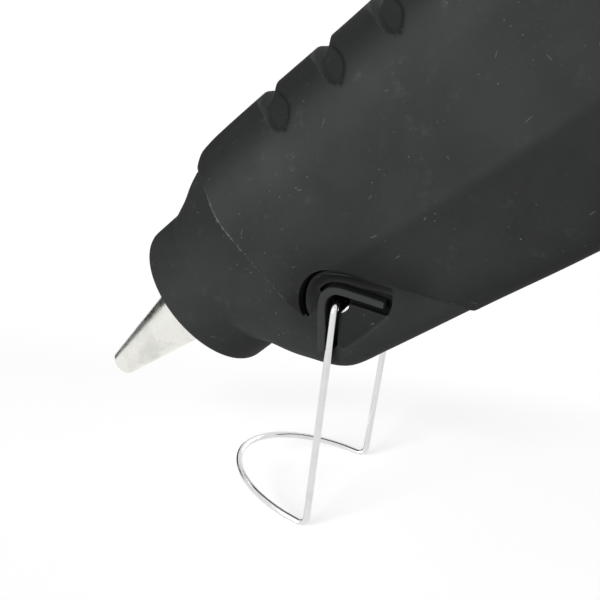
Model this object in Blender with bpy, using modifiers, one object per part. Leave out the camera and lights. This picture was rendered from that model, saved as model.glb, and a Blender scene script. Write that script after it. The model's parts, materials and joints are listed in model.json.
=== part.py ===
"""A full-size hot glue applicator, standing nose down on its wire stand and on
the toe of its grip.

Lengths are in metres. Each piece of the gun is drawn in the barrel's own
frame: X runs back along the glue stick from the front rim, Y is across the
gun and Z is up from the stick's axis. An empty tips that frame nose down, and
lifts it until the wire stand's feet and the grip's toe touch the ground at
Z = 0.
"""

import math

import bmesh
import bpy
import numpy as np
from mathutils import Matrix, Vector

# Stance
NOSE_DIP = math.radians(39.65)
GAP = 0.0003
OVERRUN = 0.005
WALL = 0.0024
TRIM = 0.03

# Front rim and neck
COLLAR_RADIUS = 0.0170
COLLAR_DEPTH = 0.0105
RIM_SEAT = 0.0140
COLLAR_WALL = 0.0022
RIM_ROUND = 0.0011
RIM_CORNER_SHARE = 0.3
NECK_START = 0.0050
NECK_LENGTH = 0.0480

# Barrel section: a round crown, sides that slope out to a ridge, and a belly
CROWN_HEIGHT = 0.0240
CROWN_RADIUS = 0.0140
BARREL_HALF_WIDTH = 0.0214
RIDGE_DROP = 0.0130
RIDGE_ROUND = 0.0080
BELLY_DEPTH = 0.0349
BELLY_ROUND = 0.0095
BELLY_TUCK = 0.0018
BARREL_START = 0.0174
BARREL_END = 0.1660
CROWN_STEPS = 7
RIDGE_STEPS = 3
BELLY_STEPS = 4

# The neck stands this far inside the barrel's skin
FLANK_HALF_WIDTH = 0.0192
FLANK_DROP = 0.0120
FLANK_CROWN_STEP = 0.0007
FLANK_ROUND = 0.0080
NECK_BELLY = 0.0336

# Grip
GRIP_ROOT = 0.1160
GRIP_TOP = 0.0240
GRIP_LEAN = math.radians(10)
GRIP_DEPTH = 0.0400
GRIP_WIDTH = 0.0320
GRIP_LENGTH = 0.1280
GRIP_SQUARENESS = 2.5
GRIP_STATIONS = 14
GRIP_POINTS = 28
GRIP_TAIL_SHARE = 0.25
TOE_LENGTH = 0.0120
BUTT_RISE = math.radians(14)

# Thumb scoops across the crown
SCOOP_FIRST = 0.0415
SCOOP_PITCH = 0.0143
SCOOP_COUNT = 3
SCOOP_DEPTH = 0.0012
SCOOP_FRONT = 0.0030
SCOOP_BACK = 0.0020
SCOOP_SWEEP = math.radians(78)
SCOOP_STEPS = 14

# Wire stand
WIRE_RADIUS = 0.0007
PIVOT_BACK = 0.0325
PIVOT_DROP = 0.0189
PIVOT_WIDTH = 0.0412
FOOT_WIDTH = 0.0372
LEG_LENGTH = 0.0471
FOOT_AHEAD = 0.0065
LOOP_DEPTH = 0.0228
LOOP_RISE = math.radians(16.6)
WIRE_TUCK = 0.0050
WIRE_BEND = 0.0016
LOOP_STEPS = 22
BEND_STEPS = 4

# Stop rib and groove beside the wire's pivot
RIB_HEIGHT = 0.0016
RIB_WIDTH = 0.0016
GROOVE_DEPTH = 0.0015
CHANNEL_DEPTH = 0.0010

# Nozzle
NOZZLE_REACH = 0.0294
NOZZLE_TIP_RADIUS = 0.0029
NOZZLE_RIM_RADIUS = 0.0077
NOZZLE_SHOULDER_RADIUS = 0.0083
NOZZLE_SHOULDER = 0.0034
NOZZLE_SPIGOT_RADIUS = 0.0048
NOZZLE_SPIGOT = 0.0080
NOZZLE_BORE = 0.0026
NOZZLE_ORIFICE = 0.0009
NOZZLE_ORIFICE_LENGTH = 0.0030
NOZZLE_EDGE = 0.0006

# Melt chamber, its heater and the rubber that holds them
CHAMBER_RADIUS = 0.0110
CHAMBER_START = 0.0142
CHAMBER_END = 0.0560
CHAMBER_NECK_RADIUS = 0.0086
CHAMBER_TAIL_RADIUS = 0.0078
CHAMBER_TAIL = 0.0080
STICK_RADIUS = 0.0056
STICK_PLAY = 0.0006
HEATER_WIDTH = 0.0094
HEATER_THICKNESS = 0.0026
HEATER_LENGTH = 0.0340
BLOCK_WALL = 0.0024
BLOCK_LENGTH = 0.0360
CLIP_THICKNESS = 0.0007
CLIP_LENGTH = 0.0090
BOOT_FRONT = 0.0010
BOOT_LENGTH = 0.0100
SLEEVE_WALL = 0.0022
SLEEVE_LENGTH = 0.0310
CLAMP_WIRE = 0.0008
CLAMP_BACK = 0.0040

# Feed carriage and the lever that bites the stick
CARRIAGE_BACK = 0.0970
CARRIAGE_LENGTH = 0.0200
CARRIAGE_WALL = 0.0030
KEY_REACH = 0.0035
KEY_HEIGHT = 0.0044
RAIL_HEIGHT = 0.0018
EAR_THICKNESS = 0.0024
EAR_RADIUS = 0.0023
CLAW_PIN_DROP = 0.0110
CLAW_PIN_RADIUS = 0.0011
CLAW_THICKNESS = 0.0034
CLAW_LENGTH = 0.0116
CLAW_HALF_WIDTH = 0.0042
CLAW_SLOT_WIDTH = 0.0040
FEED_TRAVEL = 0.0079
SPRING_RADIUS = 0.0026
SPRING_WIRE = 0.0004
SPRING_TURNS = 9
SPRING_POINTS = 9
SPRING_HEIGHT = 0.0138

# Trigger
TRIGGER_BACK = 0.1020
TRIGGER_PIVOT_DROP = 0.0360
TRIGGER_ARM = 0.0190
TRIGGER_WIDTH = 0.0150
TRIGGER_WALL = 0.0022
TRIGGER_FRONT = 0.0870
TRIGGER_FOOT_DROP = 0.0810
TRIGGER_PIN_RADIUS = 0.0020
TRIGGER_PIN_WIDTH = 0.0250
DRIVE_PIN_RADIUS = 0.0015
TRIGGER_BOSS = 0.0044
ARM_RADIUS = 0.0030
ARM_FOOT_SHARE = 1.2

# Case screws, as places along and above the stick's axis
SCREW_RADIUS = 0.00135
SCREW_LENGTH = 0.0160
SCREW_HEAD_RADIUS = 0.0027
SCREW_HEAD = 0.0020
SCREW_SEAT = 0.0070
SCREW_DRIVE = 0.0009
BOSS_RADIUS = 0.0042
HEAD_TIP_SHARE = 0.8
DRIVE_REACH_SHARE = 0.55

# Rear stick guide, lead bush and terminal block
GUIDE_WALL = 0.0030
GUIDE_LENGTH = 0.0110
GUIDE_FLANGE = 0.0022
GUIDE_FLANGE_LENGTH = 0.0022
BUSH_BORE = 0.0040
BUSH_WALL = 0.0018
BUSH_FLANGE = 0.0018
BLOCK_LENGTH_HEIGHT = (0.0120, 0.0180)
RIB_THICKNESS = 0.0018
BUTT_MIDDLE_SHARE = 0.52
BLOCK_DROP_SHARE = 0.64

ROUND_SEGMENTS = 24
PIN_SEGMENTS = 12
# Turns each round cut a little, so that its facets never line up with a lathed piece's
ROUND_SKEW = math.radians(1.7)

GUN = None
PARTS = None
TOOLS = None

# The exact solver leaves open edges in the hollow case at some sizes, so the case uses this one
CASE_SOLVER = "MANIFOLD"


def clear_scene():
    for obj in list(bpy.data.objects):
        bpy.data.objects.remove(obj, do_unlink=True)


def material(name, colour, roughness, metallic=0.0):
    """A Principled finish, made once for each name."""
    found = bpy.data.materials.get(name)
    if found is None:
        found = bpy.data.materials.new(name)
        found.use_nodes = True
        shader = found.node_tree.nodes["Principled BSDF"]
        shader.inputs["Base Color"].default_value = (*colour, 1.0)
        shader.inputs["Roughness"].default_value = roughness
        shader.inputs["Metallic"].default_value = metallic
    return found


def case_plastic():
    return material("case_plastic", (0.030, 0.030, 0.031), 0.55)


def trigger_plastic():
    return material("trigger_plastic", (0.028, 0.028, 0.029), 0.5)


def soft_rubber():
    return material("silicone", (0.045, 0.045, 0.046), 0.7)


def cast_aluminium():
    return material("aluminium", (0.62, 0.61, 0.59), 0.35, 1.0)


def plated_steel():
    return material("steel", (0.70, 0.70, 0.71), 0.18, 1.0)


def white_ceramic():
    return material("ceramic", (0.78, 0.76, 0.70), 0.6)


def finish(obj, look, smooth_angle=math.radians(32)):
    """Gives a piece its material and smooth shading with sharp edges."""
    obj.data.materials.clear()
    obj.data.materials.append(look)
    obj.data.shade_smooth()
    obj.data.set_sharp_from_angle(angle=smooth_angle)
    return obj


def new_object(name, mesh, group, location=(0, 0, 0)):
    obj = bpy.data.objects.new(name, mesh)
    group.objects.link(obj)
    obj.parent = GUN
    obj.location = location
    if group is TOOLS:
        obj.hide_render = True
        obj.display_type = "WIRE"
    return obj


def from_bmesh(name, shape, group, location=(0, 0, 0)):
    bmesh.ops.recalc_face_normals(shape, faces=shape.faces)
    mesh = bpy.data.meshes.new(name)
    shape.to_mesh(mesh)
    shape.free()
    return new_object(name, mesh, group, location)


def cut(obj, tool, solver="EXACT"):
    boolean(obj, tool, "DIFFERENCE", solver)


def join(obj, tool, solver="EXACT"):
    boolean(obj, tool, "UNION", solver)


def keep(obj, tool, solver="EXACT"):
    boolean(obj, tool, "INTERSECT", solver)


def boolean(obj, tool, operation, solver="EXACT"):
    step = obj.modifiers.new(tool.name, "BOOLEAN")
    step.operation = operation
    step.solver = solver
    step.object = tool


def settled(obj):
    """Applies an object's modifiers, and leaves the result as its mesh."""
    bpy.context.view_layer.update()
    graph = bpy.context.evaluated_depsgraph_get()
    mesh = bpy.data.meshes.new_from_object(obj.evaluated_get(graph))
    obj.modifiers.clear()
    obj.data = mesh
    return obj


def facing_out(obj):
    shape = bmesh.new()
    shape.from_mesh(obj.data)
    bmesh.ops.recalc_face_normals(shape, faces=shape.faces)
    shape.to_mesh(obj.data)
    shape.free()
    return obj


def along_curve(table, place):
    """A smooth curve through the (place, value) pairs of a table, with no overshoot."""
    knots = np.array(table, float)
    runs = np.diff(knots[:, 1]) / np.diff(knots[:, 0])
    slopes = np.concatenate(([runs[0]], (runs[1:] + runs[:-1]) / 2, [runs[-1]]))
    turning = runs[1:] * runs[:-1] <= 0
    least = np.minimum(np.abs(runs[1:]), np.abs(runs[:-1])) * 2
    slopes[1:-1] = np.where(turning, 0, np.clip(slopes[1:-1], -least, least))
    place = float(np.clip(place, knots[0, 0], knots[-1, 0]))
    low = int(np.clip(np.searchsorted(knots[:, 0], place) - 1, 0, len(knots) - 2))
    span = knots[low + 1, 0] - knots[low, 0]
    t = (place - knots[low, 0]) / span
    rise = knots[low + 1, 1] - knots[low, 1]
    ease = t * t * (3 - 2 * t)
    lead = (t * (1 - t) ** 2 * slopes[low] - t * t * (1 - t) * slopes[low + 1]) * span
    return float(knots[low, 1] + rise * ease + lead)


def loft(name, rings, group):
    """A closed skin through rings of equally many points, with flat ends."""
    shape = bmesh.new()
    made = [[shape.verts.new(point) for point in ring] for ring in rings]
    count = len(rings[0])
    for near, far in zip(made, made[1:]):
        for i in range(count):
            j = (i + 1) % count
            shape.faces.new((near[i], near[j], far[j], far[i]))
    shape.faces.new(made[0][::-1])
    shape.faces.new(made[-1])
    return from_bmesh(name, shape, group)


def prism(name, outline, half_width, group, middle=0.0):
    """A side view outline of (along, up) points, extruded across the gun."""
    shape = bmesh.new()
    low = [shape.verts.new((x, middle - half_width, z)) for x, z in outline]
    side = shape.faces.new(low)
    grown = bmesh.ops.extrude_face_region(shape, geom=[side])
    moved = [item for item in grown["geom"] if isinstance(item, bmesh.types.BMVert)]
    bmesh.ops.translate(shape, verts=moved, vec=(0, half_width + half_width, 0))
    return from_bmesh(name, shape, group)


def box(name, low, high, group):
    shape = bmesh.new()
    bmesh.ops.create_cube(shape, size=1)
    size = Vector(high) - Vector(low)
    bmesh.ops.scale(shape, vec=size, verts=shape.verts)
    bmesh.ops.translate(shape, vec=Vector(low) + size / 2, verts=shape.verts)
    return from_bmesh(name, shape, group)


def rod(name, radius, start, end, group, segments=ROUND_SEGMENTS, tip_radius=None):
    """A cylinder or cone between two points."""
    start, end = Vector(start), Vector(end)
    run = end - start
    shape = bmesh.new()
    bmesh.ops.create_cone(
        shape,
        cap_ends=True,
        segments=segments,
        radius1=radius,
        radius2=radius if tip_radius is None else tip_radius,
        depth=run.length,
    )
    turn = run.to_track_quat("Z", "Y").to_matrix().to_4x4() @ Matrix.Rotation(ROUND_SKEW, 4, "Z")
    bmesh.ops.transform(
        shape, matrix=Matrix.Translation(start + run / 2) @ turn, verts=shape.verts
    )
    return from_bmesh(name, shape, group)


def turned(name, profile, group, segments=ROUND_SEGMENTS):
    """A profile of (along, radius) points, turned about the stick's axis.

    It is closed unless both of its ends lie on the axis.
    """
    mesh = bpy.data.meshes.new(name)
    verts = [(x, 0, radius) for x, radius in profile]
    edges = [(i, i + 1) for i in range(len(verts) - 1)]
    if profile[0][1] > 0:
        edges.append((len(verts) - 1, 0))
    mesh.from_pydata(verts, edges, [])
    obj = new_object(name, mesh, group)
    screw = obj.modifiers.new("turned", "SCREW")
    screw.axis = "X"
    screw.steps = segments
    screw.render_steps = segments
    screw.use_merge_vertices = True
    screw.merge_threshold = 1e-6
    return facing_out(settled(obj))


def arc(centre, radius, start, end, steps):
    angles = np.linspace(start, end, steps + 1)
    return [
        (centre[0] + radius * math.cos(a), centre[1] + radius * math.sin(a))
        for a in angles
    ]


def fillet(before, corner, after, radius, steps):
    """The points of an arc that rounds a corner between two straight runs."""
    before, corner, after = (np.array(p, float) for p in (before, corner, after))
    back = (before - corner) / np.linalg.norm(before - corner)
    ahead = (after - corner) / np.linalg.norm(after - corner)
    half = math.acos(float(np.clip(back @ ahead, -1, 1))) / 2
    start = corner + back * radius / math.tan(half)
    end = corner + ahead * radius / math.tan(half)
    middle = corner + (back + ahead) / np.linalg.norm(back + ahead) * radius / math.sin(half)
    first = math.atan2(*(start - middle)[::-1])
    turn = math.atan2(*(end - middle)[::-1]) - first
    turn = (turn + math.pi) % (2 * math.pi) - math.pi
    return [
        tuple(middle + radius * np.array((math.cos(first + turn * t), math.sin(first + turn * t))))
        for t in np.linspace(0, 1, steps + 1)
    ]


def half_section(crown, arch, half_width, ridge, belly, ridge_round, belly_round, tuck):
    """The right half of a barrel section, from the crown to the belly's middle.

    A round arch, a straight side that slopes out to a soft ridge, a lower
    side that tucks in by tuck, and a rounded corner down to the belly.
    """
    middle = (0, crown - arch)
    reach = (half_width, ridge - middle[1])
    swing = math.acos(min(1.0, arch / math.hypot(*reach)))
    touch = math.atan2(reach[1], reach[0]) + swing
    points = arc(middle, arch, math.pi / 2, touch, CROWN_STEPS)
    widest = (half_width, ridge)
    foot = (half_width - tuck, belly)
    points += fillet(points[-1], widest, foot, ridge_round, RIDGE_STEPS)
    points += fillet(widest, foot, (0, belly), belly_round, BELLY_STEPS)
    return points + [(0, belly)]


def whole_ring(along, half):
    """Mirrors a half section to a whole ring at one place along the barrel."""
    right = [(along, y, z) for y, z in half]
    left = [(along, -y, z) for y, z in half[-2:0:-1]]
    return right + left


# Shares of the barrel's end, against shares of the size that each one shapes
CROWN_SHARES = ((0.105, 0.865), (0.111, 0.921), (0.119, 0.962), (0.131, 0.990), (0.16, 1.0),
                (0.40, 0.962), (0.80, 0.955), (0.90, 0.925), (0.96, 0.84), (1.0, 0.73))
WIDTH_SHARES = ((0.095, 0.95), (0.20, 1.0), (0.50, 1.04), (0.80, 1.04), (0.93, 0.97), (1.0, 0.84))
RIDGE_SHARES = ((0.095, 0.87), (0.22, 1.0), (0.54, 1.33), (0.80, 1.40), (0.92, 1.0), (1.0, 0.7))
BELLY_SHARES = ((0.095, 0.90), (0.295, 0.99), (0.435, 1.085), (0.60, 1.17), (0.78, 1.18),
                (0.88, 0.98), (0.95, 0.72), (1.0, 0.56))
BARREL_STATION_SHARES = (0.0, 0.004, 0.012, 0.028, 0.06, 0.12, 0.22, 0.34, 0.46, 0.58, 0.70,
                         0.78, 0.84, 0.89, 0.93, 0.96, 0.985, 1.0)


def barrel(name, inset, group):
    """The barrel's main form, or the space inside it when inset is its wall."""
    rings = []
    for share in BARREL_STATION_SHARES:
        along = BARREL_START + (BARREL_END - BARREL_START) * share
        part = along / BARREL_END
        half_width = BARREL_HALF_WIDTH * along_curve(WIDTH_SHARES, part) - inset
        half = half_section(
            CROWN_HEIGHT * along_curve(CROWN_SHARES, part) - inset,
            CROWN_RADIUS - inset,
            half_width,
            -RIDGE_DROP * along_curve(RIDGE_SHARES, part),
            -BELLY_DEPTH * along_curve(BELLY_SHARES, part) + inset,
            RIDGE_ROUND - inset,
            BELLY_ROUND - inset,
            BELLY_TUCK,
        )
        squeezed = along + inset if share < 1 else along - inset
        rings.append(whole_ring(min(squeezed, BARREL_END - inset), half))
    if inset:
        rings = [ring for ring, share in zip(rings, BARREL_STATION_SHARES) if share < 1]
    return loft(name, rings, group)


# Shares of the neck's length from its start, against shares of each full size
NECK_CROWN_SHARES = ((0.0, 0.675), (0.031, 0.702), (0.16, 0.80), (0.234, 0.893), (0.33, 0.962),
                     (0.50, 1.0), (1.0, 1.0))
NECK_WIDTH_SHARES = ((0.0, 0.80), (0.031, 0.835), (0.0875, 0.893), (0.14, 0.925), (0.23, 0.962),
                     (0.37, 0.995), (0.50, 1.0), (1.0, 1.0))
NECK_BELLY_SHARES = ((0.0, 0.42), (0.031, 0.46), (0.083, 0.53), (0.146, 0.63), (0.21, 0.725),
                     (0.31, 0.83), (0.375, 0.883), (0.43, 0.912), (0.55, 0.94), (1.0, 1.03))
NECK_SHAPE_SHARES = ((0.0, 0.0), (0.09, 0.02), (0.25, 0.55), (0.42, 1.0), (1.0, 1.0))
NECK_STATION_SHARES = (0.0, 0.04, 0.08, 0.12, 0.16, 0.21, 0.26, 0.32, 0.39, 0.47, 0.60, 0.80, 1.0)


def neck(name, inset, group):
    """The neck: rings that pass from a circle at the rim to the flank's section."""
    crown_full = CROWN_HEIGHT - FLANK_CROWN_STEP
    full = half_section(
        crown_full,
        CROWN_RADIUS - FLANK_CROWN_STEP,
        FLANK_HALF_WIDTH,
        -FLANK_DROP,
        -NECK_BELLY,
        RIDGE_ROUND / 2,
        FLANK_ROUND,
        0,
    )
    rings = []
    for share in NECK_STATION_SHARES:
        crown = crown_full * along_curve(NECK_CROWN_SHARES, share) - inset
        width = FLANK_HALF_WIDTH * along_curve(NECK_WIDTH_SHARES, share) - inset
        belly = NECK_BELLY * along_curve(NECK_BELLY_SHARES, share) - inset
        shape = along_curve(NECK_SHAPE_SHARES, share)
        half = []
        for y, z in full:
            tall, tall_full = (crown, crown_full) if z > 0 else (belly, NECK_BELLY)
            scaled = (y * width / FLANK_HALF_WIDTH, z * tall / tall_full)
            angle = math.atan2(scaled[1] / tall, scaled[0] / width)
            oval = (width * math.cos(angle), tall * math.sin(angle))
            half.append(tuple((1 - shape) * o + shape * s for o, s in zip(oval, scaled)))
        rings.append(whole_ring(NECK_START + NECK_LENGTH * share + inset, half))
    return loft(name, rings, group)


# The barrel's front edge seen from the side: the crease, the hood over the
# wire's pivot and the line down to the step in the underside. These are
# offsets from the pivot, as shares of the pivot's place back from the rim.
EDGE_SHARES = (
    (-0.462, 1.60), (-0.462, 1.21), (-0.397, 1.06), (-0.368, 0.90), (-0.368, 0.70),
    (-0.335, 0.50), (-0.27, 0.275), (-0.192, 0.060), (-0.170, 0.135), (-0.127, 0.195),
    (-0.065, 0.221), (0.006, 0.221), (0.083, 0.193), (0.175, 0.117), (0.268, 0.0),
    (0.345, -0.113), (0.41, -0.195), (0.48, -0.27), (0.55, -0.35), (0.60, -0.43), (0.585, -0.80),
)


def barrel_edge():
    pivot = np.array((PIVOT_BACK, -PIVOT_DROP))
    return [tuple(pivot + PIVOT_BACK * np.array(share)) for share in EDGE_SHARES]


def ground_below(along, stance):
    """How far above the stick's axis the ground lies, below a point of the barrel."""
    return -(stance + along * math.sin(NOSE_DIP)) / math.cos(NOSE_DIP)


def rim_height():
    """The height of the rim's centre over the ground, from the wire stand's size."""
    pivot_height = WIRE_RADIUS + math.sqrt(LEG_LENGTH**2 - FOOT_AHEAD**2)
    rise = PIVOT_BACK * math.sin(NOSE_DIP) - PIVOT_DROP * math.cos(NOSE_DIP)
    return pivot_height - rise


def grip_middle(drop):
    """The grip's middle line leans back as it goes down."""
    return GRIP_ROOT + drop * math.tan(GRIP_LEAN)


# Shares of the grip's length, against shares of its depth and its width
GRIP_DEPTH_SHARES = ((0.0, 1.25), (0.10, 1.10), (0.25, 1.0), (0.45, 0.94), (0.65, 0.93),
                     (0.85, 0.99), (1.0, 1.05))
GRIP_WIDTH_SHARES = ((0.0, 0.86), (0.20, 0.95), (0.50, 1.0), (0.75, 0.98), (1.0, 1.0))


def grip(name, inset, group):
    """The grip: rounded rings down its leaning middle line."""
    rings = []
    for t in np.linspace(0, 1 + GRIP_TAIL_SHARE, GRIP_STATIONS):
        drop = GRIP_LENGTH * t
        depth = GRIP_DEPTH * along_curve(GRIP_DEPTH_SHARES, t) / 2 - inset
        width = GRIP_WIDTH * along_curve(GRIP_WIDTH_SHARES, t) / 2 - inset
        middle = grip_middle(drop)
        ring = []
        for angle in np.linspace(0, 2 * math.pi, GRIP_POINTS, endpoint=False):
            across, back = math.sin(angle), math.cos(angle)
            power = 2 / GRIP_SQUARENESS
            y = width * math.copysign(abs(across) ** power, across)
            x = depth * math.copysign(abs(back) ** power, back)
            ring.append((middle + x, y, -GRIP_TOP - drop))
        rings.append(ring)
    return loft(name, rings, group)


def stance_outline(inset):
    """The side view of all that lies above the ground and inside the butt's end.

    The toe is cut flat by the ground, and behind it the butt rises.
    """
    height = rim_height()
    toe_start = grip_middle(GRIP_LENGTH) - GRIP_DEPTH / 2
    toe_end = toe_start + TOE_LENGTH * math.cos(NOSE_DIP)
    lift = inset / math.cos(NOSE_DIP)
    far = toe_end + GRIP_DEPTH * 2
    corner = (toe_end, ground_below(toe_end, height) + lift)
    heel = (far, corner[1] + (far - toe_end) * math.tan(BUTT_RISE) + inset / 2)
    front = BARREL_START
    return [
        (front, ground_below(front, height) + lift),
        corner,
        heel,
        (far, CROWN_HEIGHT * 2),
        (front, CROWN_HEIGHT * 2),
    ]


def outer_skin():
    """The whole outside of the case as one solid, before it is split and hollowed."""
    skin = barrel("outer_barrel", 0, TOOLS)
    edge = barrel_edge()
    back = BARREL_END + OVERRUN
    outline = edge + [(back, edge[-1][1]), (back, edge[0][1])]
    keep(skin, prism("barrel_edge", outline, TRIM, TOOLS), CASE_SOLVER)
    settled(skin)
    join(skin, neck("outer_neck", 0, TOOLS), CASE_SOLVER)
    collar = turned(
        "outer_collar",
        [
            (0, 0),
            (0, COLLAR_RADIUS - RIM_ROUND),
            (RIM_ROUND * RIM_CORNER_SHARE, COLLAR_RADIUS - RIM_ROUND * RIM_CORNER_SHARE),
            (RIM_ROUND, COLLAR_RADIUS),
            (COLLAR_DEPTH, COLLAR_RADIUS),
            (COLLAR_DEPTH, 0),
        ],
        TOOLS,
        ROUND_SEGMENTS * 2,
    )
    join(skin, collar, CASE_SOLVER)
    handle = grip("outer_grip", 0, TOOLS)
    keep(handle, prism("outer_stance", stance_outline(0), TRIM, TOOLS), CASE_SOLVER)
    settled(handle)
    join(skin, handle, CASE_SOLVER)
    settled(skin)
    for number in range(SCOOP_COUNT):
        cut(skin, scoop(number), CASE_SOLVER)
    for side in (-1, 1):
        cut(skin, flank_cut("channel", CHANNEL_SHARES, CHANNEL_DEPTH, side), CASE_SOLVER)
        join(skin, stop_rib(side), CASE_SOLVER)
    return settled(skin)


def hollow_skin():
    """The whole case in one piece: its skin, less the hollow and the shared openings."""
    skin = outer_skin()
    cut(skin, inner_space(), CASE_SOLVER)
    for side in (-1, 1):
        cut(skin, flank_cut("groove", GROOVE_SHARES, GROOVE_DEPTH, side), CASE_SOLVER)
    settled(skin)
    for tool in common_cuts() + screw_holes():
        cut(skin, tool, CASE_SOLVER)
    return settled(skin)


def scoop(number):
    """A shallow notch across the crown that fades out down both sides."""
    place = SCOOP_FIRST + SCOOP_PITCH * number
    middle = CROWN_HEIGHT - CROWN_RADIUS
    rings = []
    for t in np.linspace(-1, 1, SCOOP_STEPS + 1):
        swing = SCOOP_SWEEP * t
        depth = SCOOP_DEPTH * (1 - t**4)
        size = depth / SCOOP_DEPTH
        ring = []
        for along, radius in (
            (-SCOOP_FRONT * size, CROWN_RADIUS + GAP / 2),
            (0, CROWN_RADIUS + GAP / 2 - depth),
            (SCOOP_BACK * size, CROWN_RADIUS + GAP / 2),
            (0, CROWN_RADIUS + OVERRUN),
        ):
            across = radius * math.sin(swing)
            up = middle + radius * math.cos(swing)
            ring.append((place + along, across, up))
        rings.append(ring)
    ends = (rings[0], rings[-1])
    for ring in ends:
        for i in (0, 2):
            ring[i] = (place + (i - 1) * GAP, ring[i][1], ring[i][2])
    return loft(f"scoop_{number + 1}", rings, TOOLS)


# Screw places as shares: down from the neck's belly, and along and down the grip
SCREW_NECK_SHARE = 0.93
SCREW_GRIP_SHARES = ((0.50, 0.52), (0.87, 0.78))


def screw_places():
    """Where the case screws go, worked out from the pieces that they pass."""
    over = CHAMBER_RADIUS + GAP + BOSS_RADIUS + GAP
    grip_screws = [
        (grip_middle(GRIP_LENGTH * along), -GRIP_TOP - GRIP_LENGTH * down)
        for along, down in SCREW_GRIP_SHARES
    ]
    return (
        (PIVOT_BACK - BOSS_RADIUS, over),
        (PIVOT_BACK - BOSS_RADIUS, -NECK_BELLY * SCREW_NECK_SHARE + WALL + BOSS_RADIUS),
        (CHAMBER_END + CHAMBER_TAIL + BOSS_RADIUS * 3, over),
        (CHAMBER_END + CHAMBER_TAIL + BOSS_RADIUS, -BELLY_DEPTH + BOSS_RADIUS),
        (BARREL_END - GUIDE_LENGTH - BOSS_RADIUS - WALL, SPRING_HEIGHT),
        (GRIP_ROOT + GRIP_DEPTH / 2 + BOSS_RADIUS, -BELLY_DEPTH + BOSS_RADIUS),
        *grip_screws,
    )


def inner_space():
    """The hollow inside the case, less the ribs, rails and bosses left standing in it."""
    space = barrel("inner_barrel", WALL, TOOLS)
    join(space, neck("inner_neck", WALL, TOOLS), CASE_SOLVER)
    handle = grip("inner_grip", WALL, TOOLS)
    keep(handle, prism("inner_stance", stance_outline(WALL), TRIM, TOOLS), CASE_SOLVER)
    settled(handle)
    join(space, handle, CASE_SOLVER)
    front = box(
        "inner_front",
        (-OVERRUN, -TRIM, -TRIM * 2),
        (RIM_SEAT, TRIM, TRIM * 2),
        TOOLS,
    )
    cut(space, front, CASE_SOLVER)
    settled(space)
    for number, (along, up) in enumerate(screw_places()):
        boss = rod(
            f"boss_{number + 1}", BOSS_RADIUS, (along, -TRIM, up), (along, TRIM, up), TOOLS
        )
        cut(space, boss, CASE_SOLVER)
    for name, side in (("left", -1), ("right", 1)):
        ends = (TRIGGER_WIDTH / 2 + GAP * 3, TRIM)
        foot = -BELLY_DEPTH - BELLY_DEPTH / 4
        outline = [
            (TRIGGER_BACK - TRIGGER_BOSS, foot),
            *arc((TRIGGER_BACK, -TRIGGER_PIVOT_DROP), TRIGGER_BOSS, math.pi, 0, 8),
            (TRIGGER_BACK + TRIGGER_BOSS, foot),
        ]
        boss = prism(
            f"trigger_boss_{name}",
            outline,
            (ends[1] - ends[0]) / 2,
            TOOLS,
            side * (ends[0] + ends[1]) / 2,
        )
        cut(space, boss, CASE_SOLVER)
    for name, along in rib_places():
        rib = box(
            name,
            (along, -TRIM, -BELLY_DEPTH - TRIM),
            (along + RIB_THICKNESS, TRIM, CROWN_HEIGHT),
            TOOLS,
        )
        cut(space, rib, CASE_SOLVER)
    for rail in rails():
        cut(space, rail, CASE_SOLVER)
    return settled(space)


def rib_places():
    """Ribs that cradle the melt chamber, the sleeve and the rear guide."""
    return (
        ("rib_chamber_front", CHAMBER_START + BOSS_RADIUS),
        ("rib_chamber_rear", CHAMBER_END - BOSS_RADIUS),
        ("rib_sleeve", CHAMBER_END + CHAMBER_TAIL + BOSS_RADIUS * 2 - RIB_THICKNESS * 3),
        ("rib_guide", BARREL_END - GUIDE_LENGTH),
    )


def rails():
    """Two pairs of rails that the carriage's side keys slide between."""
    near = STICK_RADIUS + STICK_PLAY + CARRIAGE_WALL + GAP * 2
    made = []
    for side_name, side in (("left", -1), ("right", 1)):
        for level_name, level in (("low", -1), ("high", 1)):
            inner = level * (KEY_HEIGHT / 2 + GAP)
            outer = inner + level * RAIL_HEIGHT
            ends = sorted((side * near, side * TRIM))
            levels = sorted((inner, outer))
            made.append(
                box(
                    f"rail_{side_name}_{level_name}",
                    (CARRIAGE_BACK - FEED_TRAVEL - RIB_THICKNESS, ends[0], levels[0]),
                    (CARRIAGE_BACK + CARRIAGE_LENGTH + RIB_THICKNESS, ends[1], levels[1]),
                    TOOLS,
                )
            )
    return made


# Offsets from the wire's pivot, as shares of the stop rib's width
RIB_LINE_SHARES = ((-5.05, -3.1), (-0.95, 1.3), (0.0, 1.66), (1.1, 1.45), (1.9, 0.65), (4.85, -3.25))
GROOVE_SHARES = (
    (-4.62, -3.38), (-1.19, 0.31), (-0.44, 1.0), (0.19, 1.12), (0.94, 0.88), (1.94, -0.06),
    (4.62, -3.56), (3.88, -4.62), (0.94, -0.94), (0.25, -0.69), (-0.31, -0.94), (-3.12, -4.69),
)
CHANNEL_SHARES = (
    (-0.85, 2.5), (0.0, 2.75), (1.45, 2.45), (2.75, 1.2), (6.1, -2.6), (5.6, -3.6),
    (4.75, -3.3), (2.0, 0.6), (1.2, 1.4), (0.0, 1.7), (-1.0, 1.5),
)


def beside_pivot(shares):
    return [(PIVOT_BACK + RIB_WIDTH * x, -PIVOT_DROP + RIB_WIDTH * z) for x, z in shares]


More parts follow.
